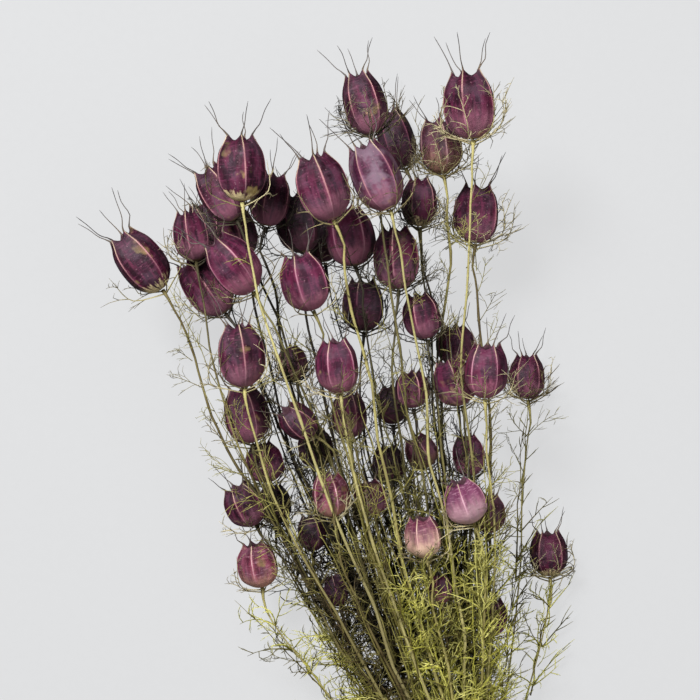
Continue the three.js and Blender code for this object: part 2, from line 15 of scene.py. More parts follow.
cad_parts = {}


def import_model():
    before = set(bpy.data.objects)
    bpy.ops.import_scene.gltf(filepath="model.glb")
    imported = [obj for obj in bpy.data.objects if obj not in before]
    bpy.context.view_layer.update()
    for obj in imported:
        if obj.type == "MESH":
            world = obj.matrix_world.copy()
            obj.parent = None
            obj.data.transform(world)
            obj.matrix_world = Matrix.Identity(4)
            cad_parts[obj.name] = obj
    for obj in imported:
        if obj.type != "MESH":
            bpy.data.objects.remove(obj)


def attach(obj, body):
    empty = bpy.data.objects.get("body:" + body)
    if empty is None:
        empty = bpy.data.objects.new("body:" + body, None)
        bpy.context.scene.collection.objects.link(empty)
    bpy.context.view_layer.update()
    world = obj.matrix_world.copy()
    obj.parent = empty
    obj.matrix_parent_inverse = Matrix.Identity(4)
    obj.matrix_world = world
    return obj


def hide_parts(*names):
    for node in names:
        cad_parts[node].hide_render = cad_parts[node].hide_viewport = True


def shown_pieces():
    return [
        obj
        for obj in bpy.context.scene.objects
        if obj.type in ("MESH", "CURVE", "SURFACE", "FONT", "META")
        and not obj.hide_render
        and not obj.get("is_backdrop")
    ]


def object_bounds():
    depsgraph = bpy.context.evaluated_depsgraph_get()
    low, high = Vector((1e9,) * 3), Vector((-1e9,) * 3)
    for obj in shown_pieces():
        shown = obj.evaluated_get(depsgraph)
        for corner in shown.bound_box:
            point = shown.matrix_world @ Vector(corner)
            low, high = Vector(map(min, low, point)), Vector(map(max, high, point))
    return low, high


LOG = logging.getLogger("nigella_bunch")
MM = 0.001
BODY = "root"
BOX_MARGIN = 0.3
DAYLIGHT = (0.985, 0.99, 1.0, 1.0)

# One row for each pod: x and y of its base, x and y of its crown, its width, the height of its middle
# above the floor (0 where it rests on it), and how much higher its crown is than its base.
HEAD_ROWS = (
    (-126.4, 228.4, -142.8, 249.2, 19, 50, 2),
    (-94.4, 263.6, -95.6, 288.8, 20, 84, 0),
    (-96.8, 256.4, -109.2, 275.6, 17, 54, 0),
    (-84.4, 253.6, -80.8, 274, 16, 52, 0),
    (-112.8, 239.6, -116, 258.8, 14.5, 46, -2),
    (-105.2, 243.2, -111.2, 262, 14.5, 0, 0),
    (-90, 227.6, -105.6, 247.6, 19.5, 68, 4),
    (-101.2, 218.8, -115.2, 239.2, 18.5, 36, -2),
    (-93.6, 240.8, -99.6, 260.8, 16, 28, 0),
    (-58, 256.4, -66.4, 281.2, 21, 82, 2),
    (-69.2, 243.2, -74.8, 265.6, 17.5, 40, -2),
    (-42.4, 290.4, -48.4, 314, 17.5, 64, 0),
    (-29.2, 277.2, -36, 299.2, 15, 0, 0),
    (-35.2, 260.4, -46, 285.6, 20, 78, 2),
    (-2, 288.4, -4.4, 314.4, 21, 74, 0),
    (-14.4, 274, -17.2, 294.8, 17.5, 46, -2),
    (-22.8, 254, -22.8, 272.8, 14.5, 48, 0),
    (-0.8, 246.8, 0.4, 269.2, 18.5, 34, 0),
    (-48.4, 237.6, -52.4, 260, 20, 46, -2),
    (-61.2, 239.2, -64, 259.2, 15, 0, 0),
    (-32, 228.4, -33.2, 252.4, 18.5, 50, 0),
    (-66, 220, -72, 242, 19.5, 68, 3),
    (-45.6, 211.6, -45.6, 231.6, 17, 28, 0),
    (-20.4, 208.8, -24, 226.4, 15.5, 46, 1),
    (-93.6, 189.2, -96.4, 213.6, 19, 70, 1),
    (-54.8, 186.8, -57.2, 207.6, 17.5, 70, 2),
    (-72.4, 192, -76, 205.2, 12, 26, 0),
    (-8.8, 198.4, -10, 213.6, 16, 20, 0),
    (-6.4, 182, -12.4, 199.6, 17, 42, 1),
    (2.8, 184.8, 3.6, 205.6, 17.5, 60, 2),
    (20, 184.4, 19.6, 201.6, 14.5, 0, 0),
    (-26, 180.8, -27.2, 195.2, 14.5, 44, 0),
    (-90.4, 166.8, -95.2, 188.4, 18.5, 44, 0),
    (-66, 170.4, -77.2, 180, 14, 60, 6),
    (-51.2, 168.8, -52.4, 186.4, 14.5, 36, 0),
    (-83.2, 151.2, -87.2, 166.4, 15, 34, 0),
    (-88.8, 133.6, -96.8, 148.4, 16, 32, 3),
    (-58, 137.6, -60.4, 154, 15, 56, 2),
    (-80.4, 134.4, -82.4, 149.6, 13.5, 0, 0),
    (-86.4, 110, -89.6, 127.2, 16.5, 30, 2),
    (-65.6, 123.6, -67.6, 137.6, 11.5, 30, 0),
    (-41.2, 138, -44, 151.6, 13.5, 42, 0),
    (-20.8, 121.2, -22.8, 136.8, 15, 52, 2),
    (-2, 135.2, -8, 151.2, 17, 56, 3),
    (4.4, 130.8, 4.4, 146, 13, 30, 0),
    (28.8, 113.6, 28, 130.8, 15.5, 0, 0),
    (-19.6, 157.2, -26, 168.8, 13, 36, 0),
    (-2.8, 153.6, -4.8, 169.6, 13, 28, 0),
    (-14, 102.8, -15.2, 114, 9.5, 40, 0),
    (5.2, 89.6, 5.2, 104, 13, 26, 0),
    (-55.2, 101.6, -58.4, 113.6, 9, 32, 0),
    (-34.8, 150.4, -36.4, 165.2, 13.5, 22, 0),
    (-34, 174.4, -35.2, 189.6, 13, 18, 0),
    (-63.2, 157.2, -66.4, 172, 14.5, 24, 0),
)

# Pod outline from base to crown as (share of the length, share of the half width).
POD_RINGS = ((0.03, 0.42), (0.18, 0.86), (0.42, 1), (0.74, 0.86), (0.98, 0.5))
CARPELS = 5
POD_BALLS = ((0.25, 0.84), (0.45, 1), (0.65, 0.93), (0.85, 0.7), (0.97, 0.54))


def scatter(*keys: float) -> float:
    """Gives a repeatable draw between 0 and 1 for a few whole numbers.

    Args:
        *keys: The numbers that name the draw.

    Returns:
        The drawn value.
    """
    weights = (12.9898, 78.233, 37.719, 93.989)
    value = math.sin(sum(key * weight for key, weight in zip(keys, weights))) * 43758.5453
    return value - math.floor(value)


def unit(vectors: np.ndarray) -> np.ndarray:
    """Scales one or more vectors to a length of 1.

    Args:
        vectors: Vectors along the last axis.

    Returns:
        The vectors at unit length.
    """
    return vectors / np.maximum(np.linalg.norm(vectors, axis=-1, keepdims=True), 1e-12)


def drift(*keys: float) -> np.ndarray:
    """Draws a vector with parts between -1 and 1 from numbers that name the draw."""
    return np.array([scatter(*keys, k) * 2 - 1 for k in range(3)])


def curled(root: np.ndarray, way: np.ndarray, aim: np.ndarray, length: float, count: int) -> np.ndarray:
    """Lays the points of a thread that sets out one way and curls over to another.

    Args:
        root: Its first point.
        way: Its direction there.
        aim: Its direction at its tip.
        length: Its length.
        count: The number of its points.

    Returns:
        The points.
    """
    share = np.linspace(0, 1, count - 1)[:, None]
    steps = unit(unit(way) * (1 - share) + unit(aim) * share) * length / (count - 1)
    return root + np.vstack([np.zeros(3), np.cumsum(steps, 0)])


def flattened(vector: np.ndarray, normal: np.ndarray) -> np.ndarray:
    """Takes from a vector its part along a unit normal, and scales the rest to a length of 1."""
    return unit(vector - normal * float(vector @ normal))


def nearest(p: np.ndarray, q: np.ndarray, u: np.ndarray, v: np.ndarray) -> tuple:
    """Finds the nearest points of pairs of straight stretches p-q and u-v.

    Args:
        p: Starts of the first stretches.
        q: Ends of the first stretches.
        u: Starts of the second stretches.
        v: Ends of the second stretches.

    Returns:
        The shares along both stretches, the vectors between the nearest points, and their distances.
    """
    d1, d2, r = q - p, v - u, p - u
    a = (d1 * d1).sum(-1)
    e = (d2 * d2).sum(-1)
    b = (d1 * d2).sum(-1)
    c = (d1 * r).sum(-1)
    f = (d2 * r).sum(-1)
    room = a * e - b * b
    crossing = room > 1e-9 * a * e
    s = np.where(crossing, np.clip((b * f - c * e) / np.where(crossing, room, 1), 0, 1), 0.5)
    t = np.clip((b * s + f) / e, 0, 1)
    s = np.clip((b * t - c) / a, 0, 1)
    apart = r + d1 * s[..., None] - d2 * t[..., None]
    return s, t, apart, np.linalg.norm(apart, axis=-1)


def smooth_line(points: np.ndarray, step: float) -> np.ndarray:
    """Runs a smooth curve through points, with slopes taken from each point's neighbours.

    Args:
        points: The points that the curve passes, n by 3.
        step: About how far apart the points of the curve are.

    Returns:
        The points of the curve.
    """
    spans = np.linalg.norm(np.diff(points, axis=0), axis=1)
    place = np.concatenate([[0], np.cumsum(spans)])
    slopes = np.gradient(points, place, axis=0)
    line = []
    for k, span in enumerate(spans):
        count = max(1, round(span / step))
        t = (np.arange(count) / count)[:, None]
        line.append(
            points[k] * (2 * t**3 - 3 * t**2 + 1)
            + slopes[k] * span * (t**3 - 2 * t**2 + t)
            + points[k + 1] * (3 * t**2 - 2 * t**3)
            + slopes[k + 1] * span * (t**3 - t**2)
        )
    line.append(points[-1:])
    return np.concatenate(line)


# Layout of the bunch


@dataclass
class Head:
    """One pod's place: base and crown points, half width, and the ways along it and across it."""

    index: int
    rests: bool
    half_width: float
    base: np.ndarray
    crown: np.ndarray
    length: float = 0.0
    axis: np.ndarray = field(default_factory=lambda: np.zeros(3))
    rib: np.ndarray = field(default_factory=lambda: np.zeros(3))
    rib_side: np.ndarray = field(default_factory=lambda: np.zeros(3))

    def turn_to_ribs(self) -> None:
        """Sets the axis, the length, and the way to the first rib and across that."""
        way = self.crown - self.base
        self.length = float(np.linalg.norm(way))
        self.axis = way / self.length
        side = unit(np.cross(self.axis, (0.0, 0.0, -1.0)))
        across = np.cross(side, self.axis)
        turn = 0.0 if self.rests else scatter(self.index, 1) * 2 * math.pi
        self.rib = across * math.cos(turn) + side * math.sin(turn)
        self.rib_side = np.cross(self.axis, self.rib)

    def outward(self, turn: float) -> np.ndarray:
        """Gives the direction across the pod at a turn from its first rib."""
        return self.rib * math.cos(turn) + self.rib_side * math.sin(turn)


@dataclass
class Bunch:
    """Where every pod, stem, awn, bract and leaf of the bunch lies, in millimetres."""

    eye: tuple[float, float, float] = (-51.2, 204.0, 900.0)
    reading_height: float = 45.0
    foot_radius: float = 1.05
    neck_radius: float = 0.85
    neck: float = 5.0
    pod_gap: float = 0.35
    lowest: float = 1.6
    spacing: float = 2.3
    foot_y: float = -100.0
    foot_scatter: float = 8.0
    foot_flare: tuple[float, float] = (1.5, 1.18)
    sheaves: int = 5
    first_station: float = 36.0
    station_step: float = 32.0
    before_neck: float = 10.0
    bow_at_tie: float = 1.2
    bow_at_neck: float = 0.45
    bow_from_axis: float = 0.3
    tie_turns: int = 5
    tie_pitch: float = 1.9
    tie_wall: float = 1.7
    tie_sides: int = 16
    tie_flat: float = 0.12
    tie_room: float = 0.45
    past_tie: float = 1.5
    keep_off_tie: float = 3.0
    clear: float = 0.4
    floor_gap: float = 0.8
    tries: int = 13
    heads: list[Head] = field(default_factory=list)
    stems: list[np.ndarray] = field(default_factory=list)
    awns: list[list[tuple[int, np.ndarray]]] = field(default_factory=list)
    bracts: list[list[np.ndarray]] = field(default_factory=list)
    leaves: list[list[np.ndarray]] = field(default_factory=list)
    sheaf_of: list[int] = field(default_factory=list)

    def __post_init__(self) -> None:
        """Works the layout out, step by step."""
        self.heads = [self.head_from_row(row, i) for i, row in enumerate(HEAD_ROWS)]
        self.settle_heads()
        for head in self.heads:
            head.turn_to_ribs()
        self.slots = self.bundle_slots()
        self.bundle_radius = max(slot[2] for slot in self.slots) / 1000 + self.foot_radius
        self.tie_half = self.tie_turns * self.tie_pitch / 2
        self.tie_inner = (self.bundle_radius + self.tie_room) / math.cos(math.pi / self.tie_sides)
        self.tie_outer = self.tie_inner + self.tie_wall
        self.tie_height = (self.tie_outer - self.tie_flat) * math.cos(math.pi / self.tie_sides)
        self.slot_of = self.slot_of_each_head()
        self.stems = [self.stem_points(head, slot) for head, slot in zip(self.heads, self.slot_of)]
        self.bend_clear()
        by_angle = sorted(range(len(self.heads)), key=lambda i: self.slot_of[i][3])
        per_sheaf = math.ceil(len(self.heads) / self.sheaves)
        self.sheaf_of = [0] * len(self.heads)
        for place, i in enumerate(by_angle):
            self.sheaf_of[i] = place // per_sheaf
        self.grow()

    def seen_scale(self, height: float) -> float:
        """Gives how much smaller a reading is at a height than at the reading height."""
        return (self.eye[2] - height) / (self.eye[2] - self.reading_height)

    def from_above(self, x: float, y: float, height: float) -> np.ndarray:
        """Places a point, read from above, at its height."""
        scale = self.seen_scale(height)
        eye_x, eye_y, _ = self.eye
        return np.array([eye_x + (x - eye_x) * scale, eye_y + (y - eye_y) * scale, height])

    def head_from_row(self, row: tuple, index: int) -> Head:
        """Places a pod as its row says.

        Args:
            row: The pod's row of HEAD_ROWS.
            index: Its number, from 0.

        Returns:
            The pod's place, before pods are moved clear of each other.
        """
        base_x, base_y, crown_x, crown_y, width, height, rise = row
        rests = height == 0
        half_width = (width / 2) * self.seen_scale(width / 2 if rests else height)
        middle = half_width if rests else height
        base = self.from_above(base_x, base_y, middle - rise / 2)
        crown = self.from_above(crown_x, crown_y, middle + rise / 2)
        return Head(index, rests, half_width, base, crown)

    def settle_heads(self) -> None:
        """Moves pods that touch apart, mostly up and down."""
        gap, rounds, sideways, ease = 1.0, 200, 0.3, 0.5
        count = len(self.heads)
        shares = np.array([share for share, size in POD_BALLS])
        widths = np.array([head.half_width for head in self.heads])
        radii = (widths[:, None] * np.array([size for share, size in POD_BALLS])).ravel()
        owner = np.repeat(np.arange(count), len(POD_BALLS))
        one, two = np.nonzero(owner[:, None] < owner[None, :])
        reach = radii[one] + radii[two] + gap
        base = np.array([head.base for head in self.heads])
        crown = np.array([head.crown for head in self.heads])
        rests = np.array([head.rests for head in self.heads])
        for _ in range(rounds):
            balls = (base[:, None] + (crown - base)[:, None] * shares[:, None]).reshape(-1, 3)
            apart = balls[one] - balls[two]
            distance = np.linalg.norm(apart, axis=1)
            lack = reach - distance
            hit = lack > 0
            push = apart[hit] / distance[hit, None] * (lack[hit, None] / 2 * ease)
            moves = np.zeros((count, 3))
            np.add.at(moves, owner[one[hit]], push)
            np.add.at(moves, owner[two[hit]], -push)
            moves[:, :2] *= sideways
            moves[rests, 2] = 0
            lowest = np.minimum(base[:, 2], crown[:, 2]) - widths
            moves[:, 2] = np.maximum(moves[:, 2], np.where(rests, 0, 0.5 - lowest))
            base += moves
            crown += moves
        for head, b, c in zip(self.heads, base, crown):
            head.base, head.crown = b, c

    def bundle_slots(self) -> list[tuple]:
        """Packs the stems in rows where the tie holds them.

        Returns:
            Slots as x, z, rounded distance from the middle, and angle, nearest first.
        """
        slots = []
        for row in range(-6, 7):
            for place in range(-6, 7):
                x = self.spacing * (place + row / 2)
                z = self.spacing * row * math.sqrt(0.75)
                slots.append((x, z, math.floor(math.hypot(x, z) * 1000 + 0.5), math.atan2(z, x)))
        slots.sort(key=lambda slot: (slot[2], slot[3]))
        return slots[: len(self.heads)]

    def slot_of_each_head(self) -> list[tuple]:
        """Gives each pod the slot that lies the same way from the bundle's middle as the pod does."""

        def levelled(values: np.ndarray) -> np.ndarray:
            """Moves values to a mean of 0 and scales them to a spread of 1."""
            return (values - values.mean()) / values.std()

        slots = np.stack([levelled(np.array([slot[k] for slot in self.slots])) for k in (0, 1)], 1)
        ways = np.array([(head.base[0] / head.base[1], head.base[2] / head.base[1]) for head in self.heads])
        ways = np.stack([levelled(ways[:, 0]), levelled(ways[:, 1])], 1)
        cost = ((ways[:, None] - slots[None]) ** 2).sum(-1).tolist()
        order = list(range(len(self.heads)))
        for _ in range(60):
            for i in range(len(order)):
                for j in range(i + 1, len(order)):
                    now = cost[i][order[i]] + cost[j][order[j]]
                    if cost[i][order[j]] + cost[j][order[i]] < now - 1e-9:
                        order[i], order[j] = order[j], order[i]
        return [self.slots[s] for s in order]

    def stem_points(self, head: Head, slot: tuple) -> np.ndarray:
        """Draws a stem from its cut end to its pod, before it is bent clear of the others.

        Args:
            head: The pod that the stem carries.
            slot: The stem's slot in the tie.

        Returns:
            The stem's points, n by 3.
        """
        foot_y = self.foot_y + (scatter(head.index, 2) * 2 - 1) * self.foot_scatter
        in_tie = self.tie_half + self.past_tie
        neck = head.base - head.axis * self.neck
        tip = head.base - head.axis * self.pod_gap
        start = np.array([slot[0], self.tie_height + slot[1]])
        points = [
            (slot[0] * self.foot_flare[0], foot_y, self.tie_height + slot[1] * self.foot_flare[1]),
            (start[0], -in_tie, start[1]),
            (start[0], in_tie, start[1]),
        ]
        span = neck[1] - in_tie
        end = neck[[0, 2]]
        lean = (end - start) / span
        axis_lean = np.clip(head.axis[[0, 2]] / max(head.axis[1], 0.5), -1, 1)
        end_lean = lean * self.bow_at_neck + axis_lean * self.bow_from_axis
        y = self.first_station
        while y < neck[1] - self.before_neck:
            t = (y - in_tie) / span
            way = start * (2 * t**3 - 3 * t**2 + 1) + lean * self.bow_at_tie * span * (t**3 - 2 * t**2 + t)
            way = way + end * (3 * t**2 - 2 * t**3) + end_lean * span * (t**3 - t**2)
            points.append((way[0], y, way[1]))
            y += self.station_step
        return np.array([*points, neck, tip])

    def bend_clear(self) -> None:
        """Bends the stems clear of each other, of the pods and of the floor."""
        rounds, last, ease, smooth = 160, 50, 0.5, 0.2
        stem_room, pod_room, fixed = 0.75, 0.9, 3
        need = self.foot_radius + self.neck_radius + stem_room
        sizes = [len(points) for points in self.stems]
        firsts = np.concatenate([[0], np.cumsum(sizes)])
        flat = np.concatenate(self.stems)
        rest = flat.copy()
        movable = [first + np.arange(fixed, n - 2) for first, n in zip(firsts, sizes)]
        movable = np.concatenate(movable).astype(int)
        lower = np.concatenate([first + np.arange(fixed - 1, n - 1) for first, n in zip(firsts, sizes)])
        owner = np.repeat(np.arange(len(sizes)), [n - fixed for n in sizes])
        low, high = flat[lower, 1], flat[lower + 1, 1]
        near = (low[None, :] <= high[:, None] + need) & (high[None, :] >= low[:, None] - need)
        one, two = np.nonzero(near & (owner[:, None] < owner[None, :]))
        shares = np.array([share for share, size in POD_BALLS])
        balls = np.concatenate([h.base + (h.crown - h.base) * shares[:, None] for h in self.heads])
        radii = np.concatenate([[h.half_width * size for share, size in POD_BALLS] for h in self.heads])
        ball_owner = np.repeat(np.arange(len(sizes)), len(POD_BALLS))
        reach = radii + self.foot_radius + pod_room
        near = (low[:, None] <= balls[None, :, 1] + reach) & (high[:, None] >= balls[None, :, 1] - reach)
        part, ball = np.nonzero(near & (owner[:, None] != ball_owner[None, :]))
        for turn in range(rounds + last):
            moves = np.zeros_like(flat)
            p, q, u, v = flat[lower[one]], flat[lower[one] + 1], flat[lower[two]], flat[lower[two] + 1]
            s, t, apart, distance = nearest(p, q, u, v)
            lack = need - distance
            hit = (lack > 0) & (distance > 1e-6)
            push = apart[hit] * (lack[hit] * ease / distance[hit])[:, None]
            sides = ((lower[one[hit]], s[hit, None], 1), (lower[two[hit]], t[hit, None], -1))
            for ends, share, sign in sides:
                np.add.at(moves, ends, push * sign * (1 - share))
                np.add.at(moves, ends + 1, push * sign * share)
            p, q = flat[lower[part]], flat[lower[part] + 1]
            along = q - p
            share = np.clip(((balls[ball] - p) * along).sum(1) / (along * along).sum(1), 0, 1)[:, None]
            apart = p + along * share - balls[ball]
            distance = np.linalg.norm(apart, axis=1)
            lack = reach[ball] - distance
            hit = lack > 0
            push = apart[hit] / distance[hit, None] * (lack[hit, None] * 2 * ease)
            np.add.at(moves, lower[part[hit]], push * (1 - share[hit]))
            np.add.at(moves, lower[part[hit]] + 1, push * share[hit])
            moves[:, 1] = 0
            away = flat - rest
            flat[movable] += moves[movable]
            if turn < rounds:
                middle = (away[movable - 1] + away[movable + 1]) * 0.5 - away[movable]
                flat[movable] += middle * smooth
            flat[movable, 2] = np.maximum(flat[movable, 2], self.lowest)
        self.stems = [flat[first : first + n] for first, n in zip(firsts, sizes)]

    def grow(self) -> None:
        """Places each pod's awns, then each stem's bracts and leaves, clear of what is already there."""
        thicket = Thicket(self)
        for i, points in enumerate(self.stems):
            thicket.add(f"stem{i}", points, np.full(len(points), self.foot_radius))
        self.awns = [self.awns_of(head, thicket) for head in self.heads]
        for i, head in enumerate(self.heads):
            self.bracts.append(self.bracts_of(head, f"stem{i}", thicket))
            self.leaves.append(self.leaves_of(head, self.stems[i], f"stem{i}", thicket))

    def awns_of(self, head: Head, thicket: "Thicket") -> list[tuple[int, np.ndarray]]:
        """Places the thin awns that rise beside a pod's horns.

        Args:
            head: The pod.
            thicket: What is already placed.

        Returns:
            Each awn's carpel and its foot and tip.
        """
        awns = []
        for carpel in range(CARPELS):
            turn = (carpel / CARPELS) * 2 * math.pi + 0.2
            foot = head.base + head.axis * head.length + head.outward(turn) * 0.37 * head.half_width
            for attempt in range(self.tries):
                draw = [scatter(head.index, carpel, attempt, key) - 0.5 for key in (3, 4, 5)]
                out = head.outward(turn + draw[0] * (0.3 + attempt * 0.1))
                spread = 0.62 + draw[1] * 0.3 - attempt * 0.02
                length = head.length * 0.66 * (1 + draw[2] * 0.3) * 0.93**attempt
                tip = foot + unit(head.axis + out * spread) * length
                if thicket.is_clear(f"pod{head.index}", head, np.array([foot, tip]), 0.5, 1):
                    thicket.add(f"pod{head.index}", np.array([foot, tip]), np.array([0.5, 0.3]))
                    awns.append((carpel, np.array([foot, tip])))
                    break
        return awns

    @staticmethod
    def out_of_stem(face: int, wobble: float) -> np.ndarray:
        """Gives the way out through the middle of one of a stem's three sides, turned by a wobble."""
        turn = ((face + 0.5) / 3) * 2 * math.pi + wobble
        return np.array([math.sin(turn), 0, math.cos(turn)])

    def bracts_of(self, head: Head, owner: str, thicket: "Thicket") -> list[np.ndarray]:
        """Places the bracts that start under a pod and cup its lower half.

        Args:
            head: The pod.
            owner: The name of the stem that they grow on.
            thicket: What is already placed.

        Returns:
            Each bract's root, bend and tip.
        """
        bracts = []
        for n in range(3):
            for attempt in range(self.tries):
                draw = [scatter(head.index, n + 20, attempt, key) - 0.5 for key in (6, 7, 8)]
                out = flattened(self.out_of_stem(n, draw[0] * 0.9), head.axis)
                flare = head.half_width * 2 * 0.66 * (1 + draw[1] * 0.2)
                root = head.base - head.axis * 2.4
                bend = head.base + head.axis * head.length * 0.12 + out * flare
                tip = head.base + head.axis * head.length * 0.62 * 0.95**attempt
                tip = tip + out * (flare + head.half_width * (0.15 + draw[2] * 0.5))
                points = np.array([root, bend, tip])
                if thicket.is_clear(owner, None, points, 0.35, 2):
                    thicket.add(owner, points, np.array([0.5, 0.35, 0.2]))
                    bracts.append(points)
                    break
        return bracts

    def leaves_of(self, head: Head, stem: np.ndarray, owner: str, thicket: "Thicket") -> list[np.ndarray]:
        """Places the leaves along a stem.

        Args:
            head: The pod that the stem carries.
            stem: The stem's points.
            owner: The stem's name.
            thicket: What is already placed.

        Returns:
            Each leaf's root and tip.
        """
        leaves = []
        stretches = len(stem) - 4
        for n in range(2):
            for attempt in range(self.tries):
                draw = [scatter(head.index, n + 40, attempt, key) for key in (9, 10, 11, 12)]
                place = 2 + stretches * ((n + draw[0]) / 2)
                k = min(math.floor(place), len(stem) - 3)
                root = stem[k] + (stem[k + 1] - stem[k]) * (0.15 + 0.6 * (place - k))
                along = unit(stem[k + 1] - stem[k])
                out = flattened(self.out_of_stem(math.floor(draw[1] * 3), (draw[3] - 0.5) * 0.7), along)
                length = 18 * (0.75 + 0.5 * draw[2]) * 0.94**attempt
                points = np.array([root, root + unit(along + out * 0.95) * length])
                if thicket.is_clear(owner, None, points, 0.3, 0):
                    thicket.add(owner, points, np.array([0.4, 0.2]))
                    leaves.append(points)
                    break
        return leaves


class Thicket:
    """Keeps every straight stretch already placed, and says whether a new one is clear of all."""

    PROFILE = ((-0.02, 0.3), *POD_RINGS, (1.06, 0.45))

    def __init__(self, bunch: Bunch) -> None:
        """Starts with the pods alone."""
        self.bunch = bunch
        self.base = np.array([head.base for head in bunch.heads])
        self.axis = np.array([head.axis for head in bunch.heads])
        self.length = np.array([head.length for head in bunch.heads])
        self.width = np.array([head.half_width for head in bunch.heads])
        self.owners = np.array([], dtype=object)
        self.p = np.zeros((0, 3))
        self.q = np.zeros((0, 3))
        self.radius = np.zeros(0)

    def add(self, owner: str, points: np.ndarray, radii: np.ndarray) -> None:
        """Adds the stretches of a thin piece."""
        self.owners = np.append(self.owners, [owner] * (len(points) - 1))
        self.p = np.concatenate([self.p, points[:-1]])
        self.q = np.concatenate([self.q, points[1:]])
        self.radius = np.concatenate([self.radius, np.maximum(radii[:-1], radii[1:])])

    def depth_in_pods(self, spots: np.ndarray) -> np.ndarray:
        """Measures how deep spots lie in each pod.

        Args:
            spots: The spots, n by 3.

        Returns:
            The depth under each pod's skin, n by the number of pods, and below 0 outside.
        """
        way = spots[:, None] - self.base[None]
        along = (way * self.axis).sum(-1)
        aside = np.sqrt(np.maximum((way * way).sum(-1) - along * along, 0))
        share = along / self.length
        outline = np.array(self.PROFILE)
        skin = np.interp(np.clip(share, -0.02, 1.06), outline[:, 0], outline[:, 1]) * self.width
        past = np.maximum(-0.02 * self.length - along, along - 1.06 * self.length)
        return np.minimum(skin - aside, -past)

    def is_clear(self, owner: str, own: Head | None, points: np.ndarray, radius: float, first: int) -> bool:
        """Says whether a thin piece is clear of the pods, the tie, the floor and the other stretches.

        Args:
            owner: Whose piece it is. Other pieces of the same owner may touch it.
            own: A pod that it may touch.
            points: Its points.
            radius: Its radius.
            first: The first sample of its first stretch that is tested against the pods.

        Returns:
            True if it is clear.
        """
        bunch = self.bunch
        if (points[:, 2] < radius + bunch.floor_gap).any():
            return False
        spots = []
        for k in range(len(points) - 1):
            for n in range(first if k == 0 else 0, 7):
                spots.append(points[k] + (points[k + 1] - points[k]) * n / 6)
        depth = self.depth_in_pods(np.array(spots))
        if own is not None:
            depth[:, own.index] = -1e3
        if (depth >= -(radius + bunch.clear)).any():
            return False
        if (np.abs(points[:, 1]) < bunch.tie_half + bunch.keep_off_tie).any():
            return False
        others = self.owners != owner
        room = self.radius[others] + radius + bunch.clear
        for k in range(len(points) - 1):
            p, q = self.p[others], self.q[others]
            ends = np.broadcast_to(points[k], p.shape), np.broadcast_to(points[k + 1], p.shape)
            if (nearest(*ends, p, q)[3] < room).any():
                return False
        return True


# Meshes


class Strands:
    """Thin round growth, such as stems, threads and awns, gathered into one mesh."""

    def __init__(self, name: str, sides: int) -> None:
        """Starts with no strand.

        Args:
            name: The mesh's name.
            sides: The number of sides of each strand: 3, or an even number from 4.
        """
        self.name = name
        self.sides = sides
        self.lines: list[np.ndarray] = []
        self.radii: list[np.ndarray] = []
        self.reach: list[np.ndarray] = []
        self.tones: list[float] = []

    def add(
        self, line: np.ndarray, radii: np.ndarray, tone: float, reach: tuple[float, float] = (0, 1)
    ) -> None:
        """Adds one strand.

        Args:
            line: Its points in millimetres.
            radii: Its radius at each point.
            tone: A number between 0 and 1 that its colour varies by.
            reach: How far out its first and last point lie, from root to tip.
        """
        self.lines.append(line)
        self.radii.append(radii)
        self.reach.append(np.linspace(reach[0], reach[1], len(line)))
        self.tones.append(tone)

    @staticmethod
    def triangle() -> bpy.types.Object:
        """Makes the cross-section of three-sided strands, as wide as round ones."""
        curve = bpy.data.curves.new("section", "CURVE")
        curve.dimensions = "2D"
        side = curve.splines.new("POLY")
        side.points.add(2)
        for k, point in enumerate(side.points):
            turn = k * 2 * math.pi / 3
            point.co = (math.cos(turn) * 1.15 * MM, math.sin(turn) * 1.15 * MM, 0, 1)
        side.use_cyclic_u = True
        section = bpy.data.objects.new("section", curve)
        bpy.context.scene.collection.objects.link(section)
        return section

    def mesh(self) -> bpy.types.Mesh:
        """Makes the mesh, with its ends closed.

        Returns:
            The mesh, in metres, with the point attributes reach and tone.
        """
        curve = bpy.data.curves.new(self.name + "_lines", "CURVE")
        curve.dimensions = "3D"
        curve.use_fill_caps = False
        section = self.triangle() if self.sides == 3 else None
        if section:
            curve.bevel_mode = "OBJECT"
            curve.bevel_object = section
        else:
            curve.bevel_depth = MM
            curve.bevel_resolution = (self.sides - 4) // 2
        for line, radii in zip(self.lines, self.radii):
            spline = curve.splines.new("POLY")
            spline.points.add(len(line) - 1)
            spline.points.foreach_set("co", np.c_[line * MM, np.ones(len(line))].ravel())
            spline.points.foreach_set("radius", np.ascontiguousarray(radii, dtype=float))
        holder = bpy.data.objects.new(self.name + "_lines", curve)
        bpy.context.scene.collection.objects.link(holder)
        graph = bpy.context.evaluated_depsgraph_get()
        mesh = bpy.data.meshes.new_from_object(holder.evaluated_get(graph), depsgraph=graph)
        bpy.data.objects.remove(holder)
        bpy.data.curves.remove(curve)
        if section:
            bpy.data.curves.remove(section.data)
        reach = np.repeat(np.concatenate(self.reach), self.sides)
        tone = np.repeat(self.tones, [len(line) * self.sides for line in self.lines])
        for name, values in (("reach", reach), ("tone", tone)):
            mesh.attributes.new(name, "FLOAT", "POINT").data.foreach_set("value", values.astype(np.float32))
        close_ends(mesh)
        return mesh


def close_ends(mesh: bpy.types.Mesh) -> None:
    """Closes the open ends of tubes and turns all faces outwards."""
    shape = bmesh.new()
    shape.from_mesh(mesh)
    rims = [edge for edge in shape.edges if edge.is_boundary]
    bmesh.ops.holes_fill(shape, edges=rims, sides=0)
    bmesh.ops.recalc_face_normals(shape, faces=shape.faces)
    shape.to_mesh(mesh)
    shape.free()
    mesh.shade_smooth()


